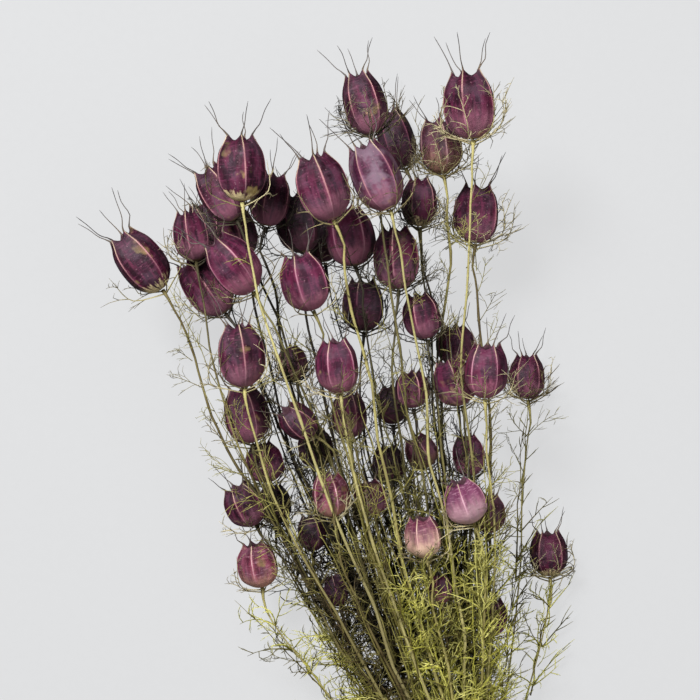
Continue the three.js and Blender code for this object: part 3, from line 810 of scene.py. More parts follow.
def show(name: str, mesh: bpy.types.Mesh, slot: str, *materials: bpy.types.Material) -> bpy.types.Object:
    """Puts a finished mesh in the scene, riding on the bunch.

    Args:
        name: The piece's name.
        mesh: Its mesh, in place, in metres.
        slot: The record's material slot that its finish belongs to; not used.
        *materials: Its materials, in the order of the mesh's material indices.

    Returns:
        The new object.
    """
    for material in materials:
        mesh.materials.append(material)
    piece = bpy.data.objects.new(name, mesh)
    bpy.context.scene.collection.objects.link(piece)
    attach(piece, BODY)
    LOG.info("%s: %d faces", name, len(mesh.polygons))
    return piece


@dataclass
class PodMould:
    """The blank that all pods are shaped from: a spun outline, kept as station and turn of each vertex."""

    turns: tuple[float, ...] = (0, 1.5, 3, 6, 11, 19, 28, 36)
    outline: tuple[tuple[float, float], ...] = (
        (0.0, 0.0),
        (0.002, 0.16),
        (0.012, 0.29),
        (0.034, 0.41),
        (0.065, 0.53),
        (0.105, 0.66),
        (0.16, 0.79),
        (0.23, 0.9),
        (0.32, 0.97),
        (0.42, 1.0),
        (0.52, 1.0),
        (0.61, 0.985),
        (0.69, 0.955),
        (0.76, 0.915),
        (0.82, 0.865),
        (0.87, 0.805),
        (0.91, 0.735),
        (0.945, 0.655),
        (0.975, 0.585),
        (1.0, 0.55),
    )
    inside: tuple[tuple[float, float], ...] = ((0.985, 0.505), (0.95, 0.42), (0.93, 0.25), (0.925, 0.0))

    def blank(self) -> bpy.types.Mesh:
        """Spins the outline once round.

        Returns:
            A mesh with each vertex's share of the way along the outline as its attribute station.
        """
        shape = bmesh.new()
        station = shape.verts.layers.float.new("station")
        whole = self.outline + self.inside
        spots = []
        for k, (height, width) in enumerate(whole):
            radius = max(width, 1e-4) if 0 < k < len(whole) - 1 else 0.0
            spot = shape.verts.new((radius, 0.0, height * 2))
            spot[station] = k
            spots.append(spot)
        edges = [shape.edges.new(pair) for pair in zip(spots, spots[1:])]
        steps = 2 * CARPELS * (len(self.turns) - 1)
        bmesh.ops.spin(
            shape,
            geom=spots + edges,
            axis=(0, 0, 1),
            cent=(0, 0, 0),
            angle=2 * math.pi,
            steps=steps,
            use_merge=True,
        )
        bmesh.ops.remove_doubles(shape, verts=shape.verts, dist=1e-6)
        bmesh.ops.recalc_face_normals(shape, faces=shape.faces)
        mesh = bpy.data.meshes.new("pod_blank")
        shape.to_mesh(mesh)
        shape.free()
        return mesh

    def turn_of(self, steps: np.ndarray) -> tuple[np.ndarray, np.ndarray]:
        """Turns even steps round the blank into turns that lie closer together at the ribs.

        Args:
            steps: Whole steps round from the first rib.

        Returns:
            The turns in radians, and how far each is from the nearest rib: 0 on it, 1 in the furrow.
        """
        half = len(self.turns) - 1
        place = steps % (2 * half)
        aside = np.where(place > half, 2 * half - place, place)
        away = np.array(self.turns)[aside] / 36
        middle = steps // (2 * half) + (place > half)
        side = np.where(place > half, -1, 1)
        return (middle * 72 + side * away * 36) * math.pi / 180, away


class PodLook(Enum):
    """How a pod took the dye and dried."""

    PLUM = "plum"
    DEEP = "deep"
    BRIGHT = "bright"
    LIGHT = "light"
    PEACH = "peach"
    LILAC = "lilac"
    FADED = "faded"
    BLOOM = "bloom"
    PATCHED = "patched"


LOOKS = {
    PodLook.DEEP: (11, 20, 23, 52, 53, 54, 6, 13, 39, 41, 51),
    PodLook.BRIGHT: (7, 19, 22, 26, 29, 30),
    PodLook.LIGHT: (38, 40),
    PodLook.PEACH: (43,),
    PodLook.LILAC: (44,),
    PodLook.FADED: (27, 45, 47, 16),
    PodLook.BLOOM: (14,),
    PodLook.PATCHED: (1, 2, 17, 34, 46),
}


# Pods that lost most of their bracts, and pods that are caged in them.
BARE_PODS = (1, 2, 7, 10, 22, 34, 40, 44)
CAGED_PODS = (12, 13, 15, 16, 17, 18, 21, 23, 27, 31, 42, 46)
# Pods on slim pale stems.
SLIM_STEMS = (6, 13, 20, 31, 39, 40, 46)


def look_of(number: int) -> PodLook:
    """Gives the look of a pod by its number, from 1."""
    return next((look for look, numbers in LOOKS.items() if number in numbers), PodLook.PLUM)


@dataclass
class Pods:
    """All the seed pods, each with its ribs, furrows, horned crown and awns in one mesh."""

    bunch: Bunch
    mould: PodMould = field(default_factory=PodMould)
    furrow: float = 0.1
    rib_rise: float = 0.034
    rib_half: float = 0.06
    horn_rise: float = 0.06
    notch: float = 0.045
    swell: float = 0.02
    wrinkle: float = 0.008
    awn_foot: tuple[float, float] = (0.5, 0.36)
    awn_root: float = 0.27
    awn_point: float = 0.06
    awn_tip: float = 0.14

    def shaped(self, blank: bpy.types.Mesh, head: Head) -> bpy.types.Mesh:
        """Shapes one pod from the blank.

        Args:
            blank: The spun blank.
            head: The pod's place.

        Returns:
            Its mesh, in place, in metres.
        """
        mesh = blank.copy()
        count = len(mesh.vertices)
        spots = np.zeros(count * 3)
        mesh.vertices.foreach_get("co", spots)
        spots = spots.reshape(-1, 3)
        station = np.zeros(count, np.float32)
        mesh.attributes["station"].data.foreach_get("value", station)
        station = np.rint(station).astype(int)
        steps = 2 * CARPELS * (len(self.mould.turns) - 1)
        step = np.rint(np.arctan2(spots[:, 1], spots[:, 0]) / (2 * math.pi) * steps).astype(int) % steps
        turn, away = self.mould.turn_of(step)
        whole = np.array(self.mould.outline + self.mould.inside)
        height, width = whole[station, 0].copy(), whole[station, 1].copy()
        outer = station < len(self.mould.outline)
        pole = (station == 0) | (station == len(whole) - 1)
        along = np.where(outer, height, 2 - height)
        body = np.clip((height - 0.01) / 0.12, 0, 1) * np.where(outer, 1, 0.4)
        ridge = np.exp(-((away / self.rib_half) ** 2)) * self.rib_rise
        hollow = self.furrow * (1 - np.cos(away * math.pi)) / 2
        carpel = np.rint(turn / (2 * math.pi) * CARPELS).astype(int) % CARPELS
        lean = np.array([scatter(head.index, c, 61) - 0.5 for c in range(CARPELS)])[carpel]
        swell = self.swell * np.sin(turn + 6 * scatter(head.index, 62))
        swell = 1 + swell * np.sin(math.pi * np.clip(height, 0, 1))
        crease = 5 * np.sin(away * 5 + carpel * 2.3 + head.index)
        wrinkle = self.wrinkle * np.sin(height * 70 + crease) * np.sin(away * math.pi)
        wrinkle *= np.clip((height - 0.1) / 0.2, 0, 1) * np.clip((0.95 - height) / 0.15, 0, 1)
        narrow = 0.22 * scatter(head.index, 67) - 0.04
        narrow = 1 - narrow * np.clip((height - 0.74) / 0.26, 0, 1) ** 1.3
        size = width * (1 + body * (ridge - hollow + wrinkle)) * swell * narrow
        crown = np.clip((height - 0.86) / 0.13, 0, 1) ** 2
        crown = np.where(outer, crown, np.clip((height - 0.9) / 0.08, 0, 1))
        point = (1 - away) ** 2.2
        dip = self.notch * (1 - point) * (0.6 + 0.4 * away)
        rise = crown * (point * (self.horn_rise + 0.02 * lean) - dip)
        size = size * (1 - 0.08 * crown * away * outer + 0.09 * crown * point**2)
        ways = np.cos(turn)[:, None] * head.rib + np.sin(turn)[:, None] * head.rib_side
        size = np.where(pole, 0, size)
        stand = head.axis * ((height + rise) * head.length)[:, None]
        place = head.base + stand + ways * (size * head.half_width)[:, None]
        place[:, 2] = np.maximum(place[:, 2], 0)
        mesh.vertices.foreach_set("co", (place * MM).ravel())
        for name, values in (
            ("across", away),
            ("along", along),
            ("swirl", turn / (2 * math.pi) * CARPELS),
            ("reach", along * 0),
            ("tone", along * 0 + scatter(head.index, 63)),
        ):
            layer = mesh.attributes.new(name, "FLOAT", "POINT")
            layer.data.foreach_set("value", values.astype(np.float32))
        mesh.attributes.remove(mesh.attributes["station"])
        shape = bmesh.new()
        shape.from_mesh(mesh)
        bmesh.ops.recalc_face_normals(shape, faces=shape.faces)
        shape.to_mesh(mesh)
        shape.free()
        mesh.shade_smooth()
        return mesh

    def awns_on(self, head: Head) -> bpy.types.Mesh:
        """Makes the awns of one pod, each from its horn's point, out and then upwards."""
        strands = Strands(f"awns_{head.index + 1:02d}", 6)
        for carpel, (_, tip) in self.bunch.awns[head.index]:
            turn = carpel / CARPELS * 2 * math.pi
            horn = head.outward(turn) * head.half_width
            root = head.base + head.axis * head.length * 0.99 + horn * 0.5
            lip = head.base + head.axis * head.length * 1.055 + horn * 0.55
            way = tip - lip
            bow = scatter(head.index, carpel, 64) * 1.3 - 0.3
            sway = np.cross(unit(way), head.axis) * (scatter(head.index, carpel, 66) - 0.5) * 2.0
            low = lip + way * 0.3 + (horn * 0.15 - head.axis * head.length * 0.04) * bow
            high = lip + way * 0.68 - horn * 0.02 * bow + sway * 1.4
            line = smooth_line(np.array([root, lip, low + sway * 0.4, high, tip]), 1.9)
            share = np.linspace(0, 1, len(line))
            radii = self.awn_tip + (self.awn_root - self.awn_tip) * (1 - share) ** 2.4
            radii[:2] = self.awn_foot
            radii[-1] = self.awn_point
            strands.add(line, radii * (0.4 + 0.6 * head.half_width / 9.5), scatter(head.index, carpel, 65))
        mesh = strands.mesh()
        for name in ("across", "along", "swirl"):
            mesh.attributes.new(name, "FLOAT", "POINT")
        return mesh

    def build(self, skins: dict[PodLook, bpy.types.Material], awn: bpy.types.Material) -> None:
        """Builds every pod in place of its solid.

        Args:
            skins: The material of each look.
            awn: The material of the awns.
        """
        blank = self.mould.blank()
        for head in self.bunch.heads:
            name = f"pod_{head.index + 1:02d}"
            pod = self.shaped(blank, head)
            both = bmesh.new()
            both.from_mesh(pod)
            skin_faces = len(both.faces)
            both.from_mesh(self.awns_on(head))
            both.faces.ensure_lookup_table()
            for face in both.faces[skin_faces:]:
                face.material_index = 1
            both.to_mesh(pod)
            both.free()
            pod.shade_smooth()
            piece = show("fine_" + name, pod, "dried_pod", skins[look_of(head.index + 1)], awn)
            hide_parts(name)


@dataclass(frozen=True)
class BunchForm:
    """The bunch's outline in plain numbers, which the tufts and the painted shade inside the bunch follow."""

    top_at_tie: float = 15.0
    top_slope: float = 0.23
    lean: float = 0.25
    read_at: float = 80.0
    left_lean: float = 0.77
    left_edge: float = 8.0
    front_share: float = 0.8

    def across(self, spot: np.ndarray, y: float) -> float:
        """Gives how far a spot lies across the bunch, which leans to the left."""
        return spot[0] + self.lean * (y - self.read_at)

    def in_front(self, spot: np.ndarray, y: float) -> bool:
        """Says whether a spot is on the upper side of the bunch, and not at its left edge."""
        high = spot[2] > self.front_share * (self.top_at_tie + self.top_slope * y)
        return bool(high and spot[0] + self.left_lean * y > self.left_edge)


FORM = BunchForm()


@dataclass
class Growth:
    """The stems with their bracts and leaves, sheaf by sheaf."""

    bunch: Bunch
    low: np.ndarray
    high: np.ndarray
    stem_step: float = 5.0
    foot_size: float = 1.08
    run_size: float = 0.84
    neck_size: float = 0.42
    thinnest: float = 0.82
    thickness_range: float = 0.34
    slim: float = 0.7
    slim_tone: float = 0.55
    full_until: float = 8.0
    full_fade: float = 40.0
    straight_until: float = 0.3
    kink: float = 2.1
    hook: float = 1.9
    hook_below: float = 9.0
    hook_length: float = 5.0
    node_gap: float = 27.0
    joint_rise: float = 0.22
    bract_root: float = 0.33
    leaf_gap: float = 15.0
    leaf_root: float = 0.24
    fine_leaf_root: float = 0.19
    shoots: int = 4
    shoot_first: float = 30.0
    shoot_span: float = 110.0
    tuft_gap: float = 13.0
    tuft_top: float = 140.0
    tuft_root: float = 0.28
    back_tuft_root: float = 0.34
    margin: float = 0.25
    lowest: float = 0.6
    off_tie: float = 2.0

    def __post_init__(self) -> None:
        """Keeps what tells how deep a spot is in the pods."""
        self.pods = Thicket(self.bunch)

    def kept(self, line: np.ndarray, own: int | None) -> np.ndarray:
        """Cuts a thread off where it would run into a pod, the floor or past the bunch's box.

        Args:
            line: The thread's points.
            own: The number of the pod that it may start in, or None.

        Returns:
            Its points up to there.
        """
        depth = self.pods.depth_in_pods(line)
        if own is not None:
            depth[:2, own] = -1e3
        bad = (depth > -self.margin).any(1) | (line[:, 2] < self.lowest)
        bad |= (line < self.low).any(1) | (line > self.high).any(1)
        bad[1:] |= np.abs(line[1:, 1]) < self.bunch.tie_half + self.off_tie
        return line[: int(np.argmax(bad))] if bad.any() else line

    def thread(
        self,
        strands: Strands,
        line: np.ndarray,
        radii: tuple[float, float],
        tone: float,
        reach: tuple,
        own: int | None,
    ) -> np.ndarray:
        """Adds one tapering thread, cut off where it would run into something.

        Args:
            strands: What it is added to.
            line: Its points.
            radii: Its radius at the root and at the tip.
            tone: Its tone.
            reach: How far out its ends lie.
            own: The number of the pod that it may start in, or None.

        Returns:
            The points that were kept.
        """
        kept = self.kept(line, own)
        if len(kept) < 3:
            return kept[:0]
        size = np.linspace(radii[0], radii[1], len(line))[: len(kept)]
        size[-1] = min(size[-1], 0.06)
        end = reach[0] + (reach[1] - reach[0]) * len(kept) / len(line)
        strands.add(kept, size, tone, (reach[0], end))
        return kept

    def forked(
        self,
        strands: Strands,
        main: np.ndarray,
        facing: np.ndarray,
        pairs: int,
        prong: float,
        root_radius: float,
        key: tuple,
        own: int | None = None,
    ) -> None:
        """Adds a thread-like leaf: a main thread with side threads that fork again.

        Args:
            strands: What it is added to.
            main: The main thread's points.
            facing: About the way that its flat side faces.
            pairs: How many side threads it has on each side.
            prong: The length of its longest side threads.
            root_radius: Its radius at the root.
            key: Whole numbers that name its draws.
            own: The number of the pod that it may start in, or None.
        """
        tone = scatter(*key, 71)
        kept = self.thread(strands, main, (root_radius, 0.1), tone, (0, 0.85), own)
        if len(kept) < 3:
            return
        count = pairs * 2
        for n in range(count):
            share = 0.22 + 0.72 * (n + 0.8 * scatter(*key, n, 72)) / count
            place = share * (len(main) - 1)
            k = int(place)
            if k + 1 >= len(kept):
                break
            root = main[k] + (main[k + 1] - main[k]) * (place - k)
            along = unit(main[k + 1] - main[k])
            side = unit(np.cross(along, facing)) * (1 if n % 2 else -1)
            loose = drift(*key, n, 73)
            size = prong * (1.2 - 0.6 * share) * (0.45 + 0.9 * scatter(*key, n, 74))
            way = along * 0.9 + side * 0.8 + loose * 0.5
            aim = along * 0.8 + side * 0.5 + loose * 1.3
            line = curled(root, way, aim, size, 4)
            self.thread(strands, line, (root_radius * 0.62, 0.08), tone, (share * 0.7, 1), own)
            for m in range(2):
                if scatter(*key, n, 75 + m) < 0.2:
                    continue
                start = line[1 + m]
                on = unit(line[1 + m] - line[m])
                stray = drift(*key, n, 77 + m)
                twig = curled(start, on + stray * 0.9, on * 0.6 + stray * 1.2 - loose * 0.5, size * 0.55, 3)
                self.thread(strands, twig, (root_radius * 0.45, 0.075), tone, (0.4 + share * 0.4, 1), own)

    def stem_radii(self, i: int, line: np.ndarray, share: np.ndarray) -> np.ndarray:
        """Works out how thick a stem is: full in the tie, thin towards its neck, wide where the pod sits.

        Args:
            i: The number of its pod.
            line: Its points.
            share: The share of the way along it at each point.

        Returns:
            Its radius at each point.
        """
        radii = self.run_size + (self.neck_size - self.run_size) * share**0.8
        radii *= self.thinnest + self.thickness_range * scatter(i, 82)
        if i + 1 in SLIM_STEMS:
            radii = radii * self.slim
        tied = np.clip(1 - (line[:, 1] - self.full_until) / self.full_fade, 0, 1)
        radii += (self.foot_size - radii) * tied
        radii *= 1 + 0.07 * np.sin(share * 37 + i) * np.sin(share * 61 + 2 * i)
        radii[-3:] = (self.neck_size, self.neck_size * 1.3, self.neck_size * 2.1)
        return radii

    def stem_bends(self, i: int, line: np.ndarray, share: np.ndarray, joints: np.ndarray) -> np.ndarray:
        """Works out how far a stem is bent aside: at each joint, and once just under the pod.

        Args:
            i: The number of its pod.
            line: Its points.
            share: The share of the way along it at each point.
            joints: How many joints lie before each point, with the part of the next stretch.

        Returns:
            The shift of each point, which fades out near other pods.
        """
        joint = joints.astype(int)
        turns = np.array([drift(i, n, 86) for n in range(joint[-1] + 2)])
        bend = turns[joint] + (turns[joint + 1] - turns[joint]) * (joints - joint)[:, None]
        free = np.clip(np.minimum(share - self.straight_until, 1 - share) * 12, 0, 1)
        bend *= (self.kink * free)[:, None]
        below = (1 - share) * (len(line) - 1) * self.stem_step
        hook = self.hook * np.exp(-(((below - self.hook_below) / self.hook_length) ** 2))
        bend += drift(i, 0, 87) * hook[:, None] * (below > 2)[:, None]
        others = np.delete(self.pods.depth_in_pods(line), i, axis=1).max(1)
        bend *= np.clip((-others - 0.8) / 2.2, 0, 1)[:, None]
        return bend

    def stems_of(self, members: list[int], name: str) -> bpy.types.Mesh:
        """Makes the stems of one sheaf.

        Args:
            members: The numbers of its pods.
            name: The mesh's name.

        Returns:
            Its mesh.
        """
        strands = Strands(name, 8)
        for i in members:
            line = smooth_line(self.bunch.stems[i], self.stem_step)
            share = np.linspace(0, 1, len(line))
            radii = self.stem_radii(i, line, share)
            joints = share * len(line) * self.stem_step / self.node_gap + scatter(i, 85)
            bend = self.stem_bends(i, line, share, joints)
            line[:, 0] += bend[:, 0]
            line[:, 2] += bend[:, 2] * 0.7
            swollen = np.exp(-(((joints - joints.astype(int)) - 0.1) ** 2) / 0.004)
            radii[2:-4] *= 1 + self.joint_rise * swollen[2:-4] * (share[2:-4] > self.straight_until)
            # Painted shade: a stem whose pod lies lower in the bunch gets a lower tone, so it comes out
            # browner and darker. The rest of its tone is random, and slim stems all share one tone.
            height = (self.bunch.heads[i].base[2] - 20) / 62
            tone = float(np.clip(height * 0.75 + 0.5 * (scatter(i, 81) - 0.35), 0, 1))
            strands.add(line, radii, self.slim_tone if i + 1 in SLIM_STEMS else tone)
        return strands.mesh()

    def bracts_for(self, head: Head, strands: Strands) -> None:
        """Adds the bracts that cup one pod: the ones of its solid, and finer ones between them.

        Args:
            head: The pod.
            strands: What they are added to.
        """
        number = head.index + 1
        extra, pairs = (1, 2) if number in BARE_PODS else (7, 4) if number in CAGED_PODS else (3, 3)
        ways = list(self.bunch.bracts[head.index])
        start = scatter(head.index, 91) * 2 * math.pi
        for n in range(extra):
            draw = [scatter(head.index, n, key) for key in (92, 93, 94, 95)]
            out = head.outward(start + (n + 0.5 * draw[0]) * 2 * math.pi / extra)
            flare = head.half_width * (1.02 + 0.2 * draw[1])
            root = head.base - head.axis * 1.2
            bend = head.base + head.axis * head.length * (0.1 + 0.1 * draw[3]) + out * flare
            tip = head.base + head.axis * head.length * (0.4 + 0.5 * draw[2])
            tip = tip + out * (flare + head.half_width * 0.14)
            ways.append(np.array([root, bend, tip]))
        for n, (root, bend, tip) in enumerate(ways):
            low = root + (bend - root) * 0.5 - head.axis * head.half_width * 0.06
            sway = flattened(drift(head.index, n, 96), head.axis) * head.half_width * 0.13
            main = smooth_line(np.array([root, low, bend + sway, tip - sway]), 2.9)
            out = flattened(bend - root, head.axis)
            prong = head.length * (0.3 + 0.2 * scatter(head.index, n, 97))
            key = (head.index, n + 20)
            self.forked(strands, main, out, pairs, prong, self.bract_root, key, head.index)

    def leaves_for(self, i: int, strands: Strands) -> None:
        """Adds the leaves along one stem: those of its solid, and more between them.

        Args:
            i: The number of the stem's pod.
            strands: What they are added to.
        """
        stem = smooth_line(self.bunch.stems[i], 4.0)
        for n, (root, tip) in enumerate(self.bunch.leaves[i]):
            way = tip - root
            k = int(np.argmin(np.linalg.norm(stem - root, axis=1)))
            along = unit(stem[min(k + 1, len(stem) - 1)] - stem[max(k - 1, 0)])
            out = flattened(unit(way), along)
            main = np.array([root, root + way * 0.3 + out * 1.2, root + way * 0.65 + out * 1.0, tip])
            line = smooth_line(main, 3.4)
            self.forked(strands, line, np.cross(along, out), 3, 8, self.leaf_root, (i, n + 40))
        y = 46 + 14 * scatter(i, 95)
        n = 0
        while y < stem[-1, 1] - 16:
            k = int(np.searchsorted(stem[:, 1], y))
            along = unit(stem[k] - stem[k - 1])
            out = flattened(unit(np.array([scatter(i, n, 96) - 0.5, 0, scatter(i, n, 97) - 0.5])), along)
            size = 8 + 13 * scatter(i, n, 98) ** 1.5
            loose = drift(i, n, 88)
            main = curled(stem[k], along + out * 0.9, along * 0.9 + out * 0.3 + loose * 0.8, size, 6)
            facing = np.cross(along, out)
            self.forked(strands, main, facing, 3, size * 0.5, self.fine_leaf_root, (i, n + 60))
            y += self.leaf_gap * (0.5 + 0.8 * scatter(i, n, 99))
            n += 1

    def shoots_for(self, i: int, strands: Strands) -> None:
        """Adds thin side shoots without pods, which leave the stem and run up beside it.

        Args:
            i: The number of the stem's pod.
            strands: What they are added to.
        """
        stem = smooth_line(self.bunch.stems[i], 4.0)
        for n in range(self.shoots):
            draw = [scatter(i, n, key) for key in (121, 122, 123)]
            y = self.shoot_first + self.shoot_span * (n + draw[0]) / self.shoots
            k = int(np.searchsorted(stem[:, 1], y))
            if k > len(stem) - 6:
                continue
            along = unit(stem[k] - stem[k - 1])
            loose = drift(i, n, 124)
            loose[0] = math.copysign(loose[0], -0.3 * y - stem[k, 0])
            length = (50 + 70 * draw[1]) * min(1.0, (stem[-1, 1] - y) / 80)
            aim = along + loose * np.array([0.05, 0.03, 0.06])
            main = curled(stem[k], along + loose * np.array([0.17, 0, 0.14]), aim, length, 12)
            wave = np.array([drift(i, n, m, 125) for m in range(12)]) * 0.8
            main[1:] += wave[1:] * np.array([1, 0, 0.7])
            self.forked(strands, main, np.cross(along, loose), 4, 7, 0.3 + 0.16 * draw[2], (i, n, 126))

    @staticmethod
    def threads_in_tuft(across: float, y: float, front: bool) -> int:
        """Gives how many threads a tuft has: many on the right, few where the growth is dry and open.

        Args:
            across: How far the tuft lies across the bunch.
            y: How far along it is.
            front: True if it lies on the upper side of the bunch.

        Returns:
            The number of threads.
        """
        if not front:
            count = 7 if -50 < across < -15 else 4
        elif across > -20:
            count = 6
        elif across > -42:
            count = 0
        else:
            count = 1 if across > -62 else 2
        return max(count - 2, 0) if y < 42 or y > 115 else count

    def tufts_for(self, i: int, strands: Strands) -> None:
        """Adds the feathery tufts on the lower part of one stem, long threads that curl and fork.

        Args:
            i: The number of the stem's pod.
            strands: What they are added to.
        """
        stem = smooth_line(self.bunch.stems[i], 4.0)
        y = 16 + 16 * scatter(i, 111)
        n = 0
        while y < min(self.tuft_top, stem[-1, 1] - 12):
            k = int(np.searchsorted(stem[:, 1], y))
            along = unit(stem[k] - stem[k - 1])
            front = FORM.in_front(stem[k], y)
            root_radius = self.tuft_root if front else self.back_tuft_root
            for m in range(self.threads_in_tuft(FORM.across(stem[k], y), y, front)):
                draw = [scatter(i, n, m, key) for key in (112, 113)]
                turn = draw[0] * 2 * math.pi
                out = flattened(np.array([math.cos(turn), 0.001, math.sin(turn)]), along)
                loose = drift(i, n, m, 114)
                size = 9 + 17 * draw[1] ** 1.5
                way = along * 0.9 + out * 0.9 + loose * 0.3
                aim = along * 0.3 + out * 0.2 + loose
                main = curled(stem[k], way, aim, size, 6)
                facing = np.cross(along, out)
                self.forked(strands, main, facing, 2, size * 0.4, root_radius, (i, n, m + 120))
            y += self.tuft_gap * (0.6 + 0.8 * scatter(i, n, 116))
            n += 1

    def build(self, stem: bpy.types.Material, bract: bpy.types.Material, leaf: bpy.types.Material) -> None:
        """Builds each sheaf's stems, bracts and leaves in place of its solid.

        Args:
            stem: The material of the stems.
            bract: The material of the bracts.
            leaf: The material of the leaves.
        """
        for sheaf in range(self.bunch.sheaves):
            members = [i for i, other in enumerate(self.bunch.sheaf_of) if other == sheaf]
            node = f"stems_and_leaves_{sheaf + 1}"
            stems = show(f"stems_{sheaf + 1}", self.stems_of(members, node), "dried_stem", stem)
            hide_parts(node)
            bracts = Strands(f"bracts_{sheaf + 1}", 3)
            leaves = Strands(f"leaves_{sheaf + 1}", 3)
            for i in members:
                self.bracts_for(self.bunch.heads[i], bracts)
                self.leaves_for(i, leaves)
                self.shoots_for(i, leaves)
                self.tufts_for(i, leaves)
            for strands, material in ((bracts, bract), (leaves, leaf)):
                piece = show(strands.name, strands.mesh(), "dried_stem", material)
                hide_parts(node)


@dataclass
class RaffiaTie:
    """Raffia wound round the stems, in strands side by side."""

    bunch: Bunch
    strands: int = 7
    crossing: int = 3
    inner_strands: int = 6
    strand_half: float = 0.66

    def winding(
        self, strands: Strands, radius: float, low: float, high: float, key: int, sway: float
    ) -> None:
        """Adds one turn of raffia.

        Args:
            strands: What it is added to.
            radius: Its distance from the tie's middle line.
            low: Where along the tie it starts.
            high: Where along the tie it is half a turn further on.
            key: Its number.
            sway: How far it wanders along the tie.
        """
        turn = np.linspace(0, 2 * math.pi, 61)
        reach = radius - 0.14 * (1 + np.sin(turn * 3 + key * 2.1))
        y = low + (high - low) * (1 - np.cos(turn)) / 2 + sway * np.sin(turn * 2 + key)
        z = np.maximum(self.bunch.tie_height + np.cos(turn) * reach, self.strand_half)
        line = np.stack([np.sin(turn) * reach, y, z], 1)
        size = self.strand_half * (0.84 + 0.16 * np.sin(turn * 4 + key * 1.7))
        strands.add(line, size, scatter(key, 101))

    def build(self, raffia: bpy.types.Material) -> None:
        """Builds the winding in place of its solid.

        Args:
            raffia: The material of the raffia.
        """
        bunch = self.bunch
        winding = Strands("raffia_winding", 8)
        edge = bunch.tie_half - self.strand_half
        for n in range(self.inner_strands):
            y = edge * (2 * (n + 0.5) / self.inner_strands - 1) * 0.9
            self.winding(winding, bunch.tie_inner + 0.35, y, y, n + 20, 0.15)
        for n in range(self.strands):
            y = edge * (2 * n / (self.strands - 1) - 1)
            inwards = -0.3 * y / edge
            self.winding(winding, bunch.tie_outer - 0.95 + 0.12 * (n % 2), y, y + inwards, n, 0.12)
        for n in range(self.crossing):
            y = edge * (0.75 - 0.45 * n)
            self.winding(winding, bunch.tie_outer - 0.72, y, -y * 0.8, n + 40, 0.1)
        piece = show("raffia_winding", winding.mesh(), "raffia", raffia)
        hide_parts("raffia_tie")


# Finishes


def colour(code: str) -> tuple[float, float, float, float]:
    """Turns a six-digit colour code into linear red, green, blue and alpha."""
    parts = [int(code[k : k + 2], 16) / 255 for k in (0, 2, 4)]
    linear = [c / 12.92 if c <= 0.04045 else ((c + 0.055) / 1.055) ** 2.4 for c in parts]
    return (*linear, 1.0)


class Bench:
    """Adds nodes to a node tree and joins them."""

    def __init__(self, tree: bpy.types.NodeTree) -> None:
        """Works on a tree."""
        self.tree = tree

    def node(self, kind: str, inputs: dict | None = None, **settings: object) -> bpy.types.Node:
        """Adds a node.

        Args:
            kind: Its type.
            inputs: What goes into its sockets: values, or sockets of other nodes.
            **settings: Its other settings.

        Returns:
            The node.
        """
        node = self.tree.nodes.new(kind)
        for name, value in settings.items():
            setattr(node, name, value)
        for name, value in (inputs or {}).items():
            if isinstance(value, bpy.types.NodeSocket):
                self.tree.links.new(value, node.inputs[name])
            else:
                node.inputs[name].default_value = value
        return node

    def attribute(self, name: str) -> bpy.types.NodeSocket:
        """Reads a point attribute of the mesh."""
        return self.node("ShaderNodeAttribute", attribute_name=name).outputs["Fac"]

    def spot(self) -> bpy.types.NodeSocket:
        """Reads the place on the object."""
        return self.node("ShaderNodeTexCoord").outputs["Object"]

    def sums(self, operation: str, *values: object) -> bpy.types.NodeSocket:
        """Works on one to three numbers."""
        return self.node("ShaderNodeMath", dict(enumerate(values)), operation=operation).outputs[0]

    def times(self, first: object, second: object) -> bpy.types.NodeSocket:
        """Multiplies two numbers."""
        return self.sums("MULTIPLY", first, second)

    def eased(
        self, value: object, low: float, high: float, to_low: float = 0, to_high: float = 1
    ) -> bpy.types.NodeSocket:
        """Moves a number smoothly from one range to another."""
        sockets = {"Value": value, "From Min": low, "From Max": high, "To Min": to_low, "To Max": to_high}
        return self.node("ShaderNodeMapRange", sockets, interpolation_type="SMOOTHSTEP").outputs["Result"]

    def noise(
        self, vector: object, scale: float, detail: float = 2, roughness: float = 0.5
    ) -> bpy.types.NodeSocket:
        """Draws soft noise between 0 and 1."""
        sockets = {"Vector": vector, "Scale": scale, "Detail": detail, "Roughness": roughness}
        return self.node("ShaderNodeTexNoise", sockets).outputs["Fac"]

    def mix(self, share: object, first: object, second: object, blend: str = "MIX") -> bpy.types.NodeSocket:
        """Mixes two colours."""
        sockets = {0: share, 6: first, 7: second}
        return self.node("ShaderNodeMix", sockets, data_type="RGBA", blend_type=blend).outputs[2]

    def place(self, x: object, y: object, z: object) -> bpy.types.NodeSocket:
        """Makes a vector of three numbers."""
        return self.node("ShaderNodeCombineXYZ", {"X": x, "Y": y, "Z": z}).outputs[0]

    def parts(self, vector: object) -> list[bpy.types.NodeSocket]:
        """Takes a vector apart into its three numbers."""
        return list(self.node("ShaderNodeSeparateXYZ", {0: vector}).outputs)

    def drying(
        self, group: bpy.types.NodeTree, vector: object, stain_scale: float, grain_scale: float
    ) -> tuple[bpy.types.NodeSocket, bpy.types.NodeSocket]:
        """Places the uneven drying group.

        Args:
            group: The group.
            vector: The place on the object.
            stain_scale: How close together the stains are.
            grain_scale: How fine the grain is.

        Returns:
            How stained and how grainy a spot is.
        """
        sockets = {"Vector": vector, "Stain Scale": stain_scale, "Grain Scale": grain_scale}
        uneven = self.node("ShaderNodeGroup", sockets, node_tree=group)
        return uneven.outputs["Stain"], uneven.outputs["Grain"]


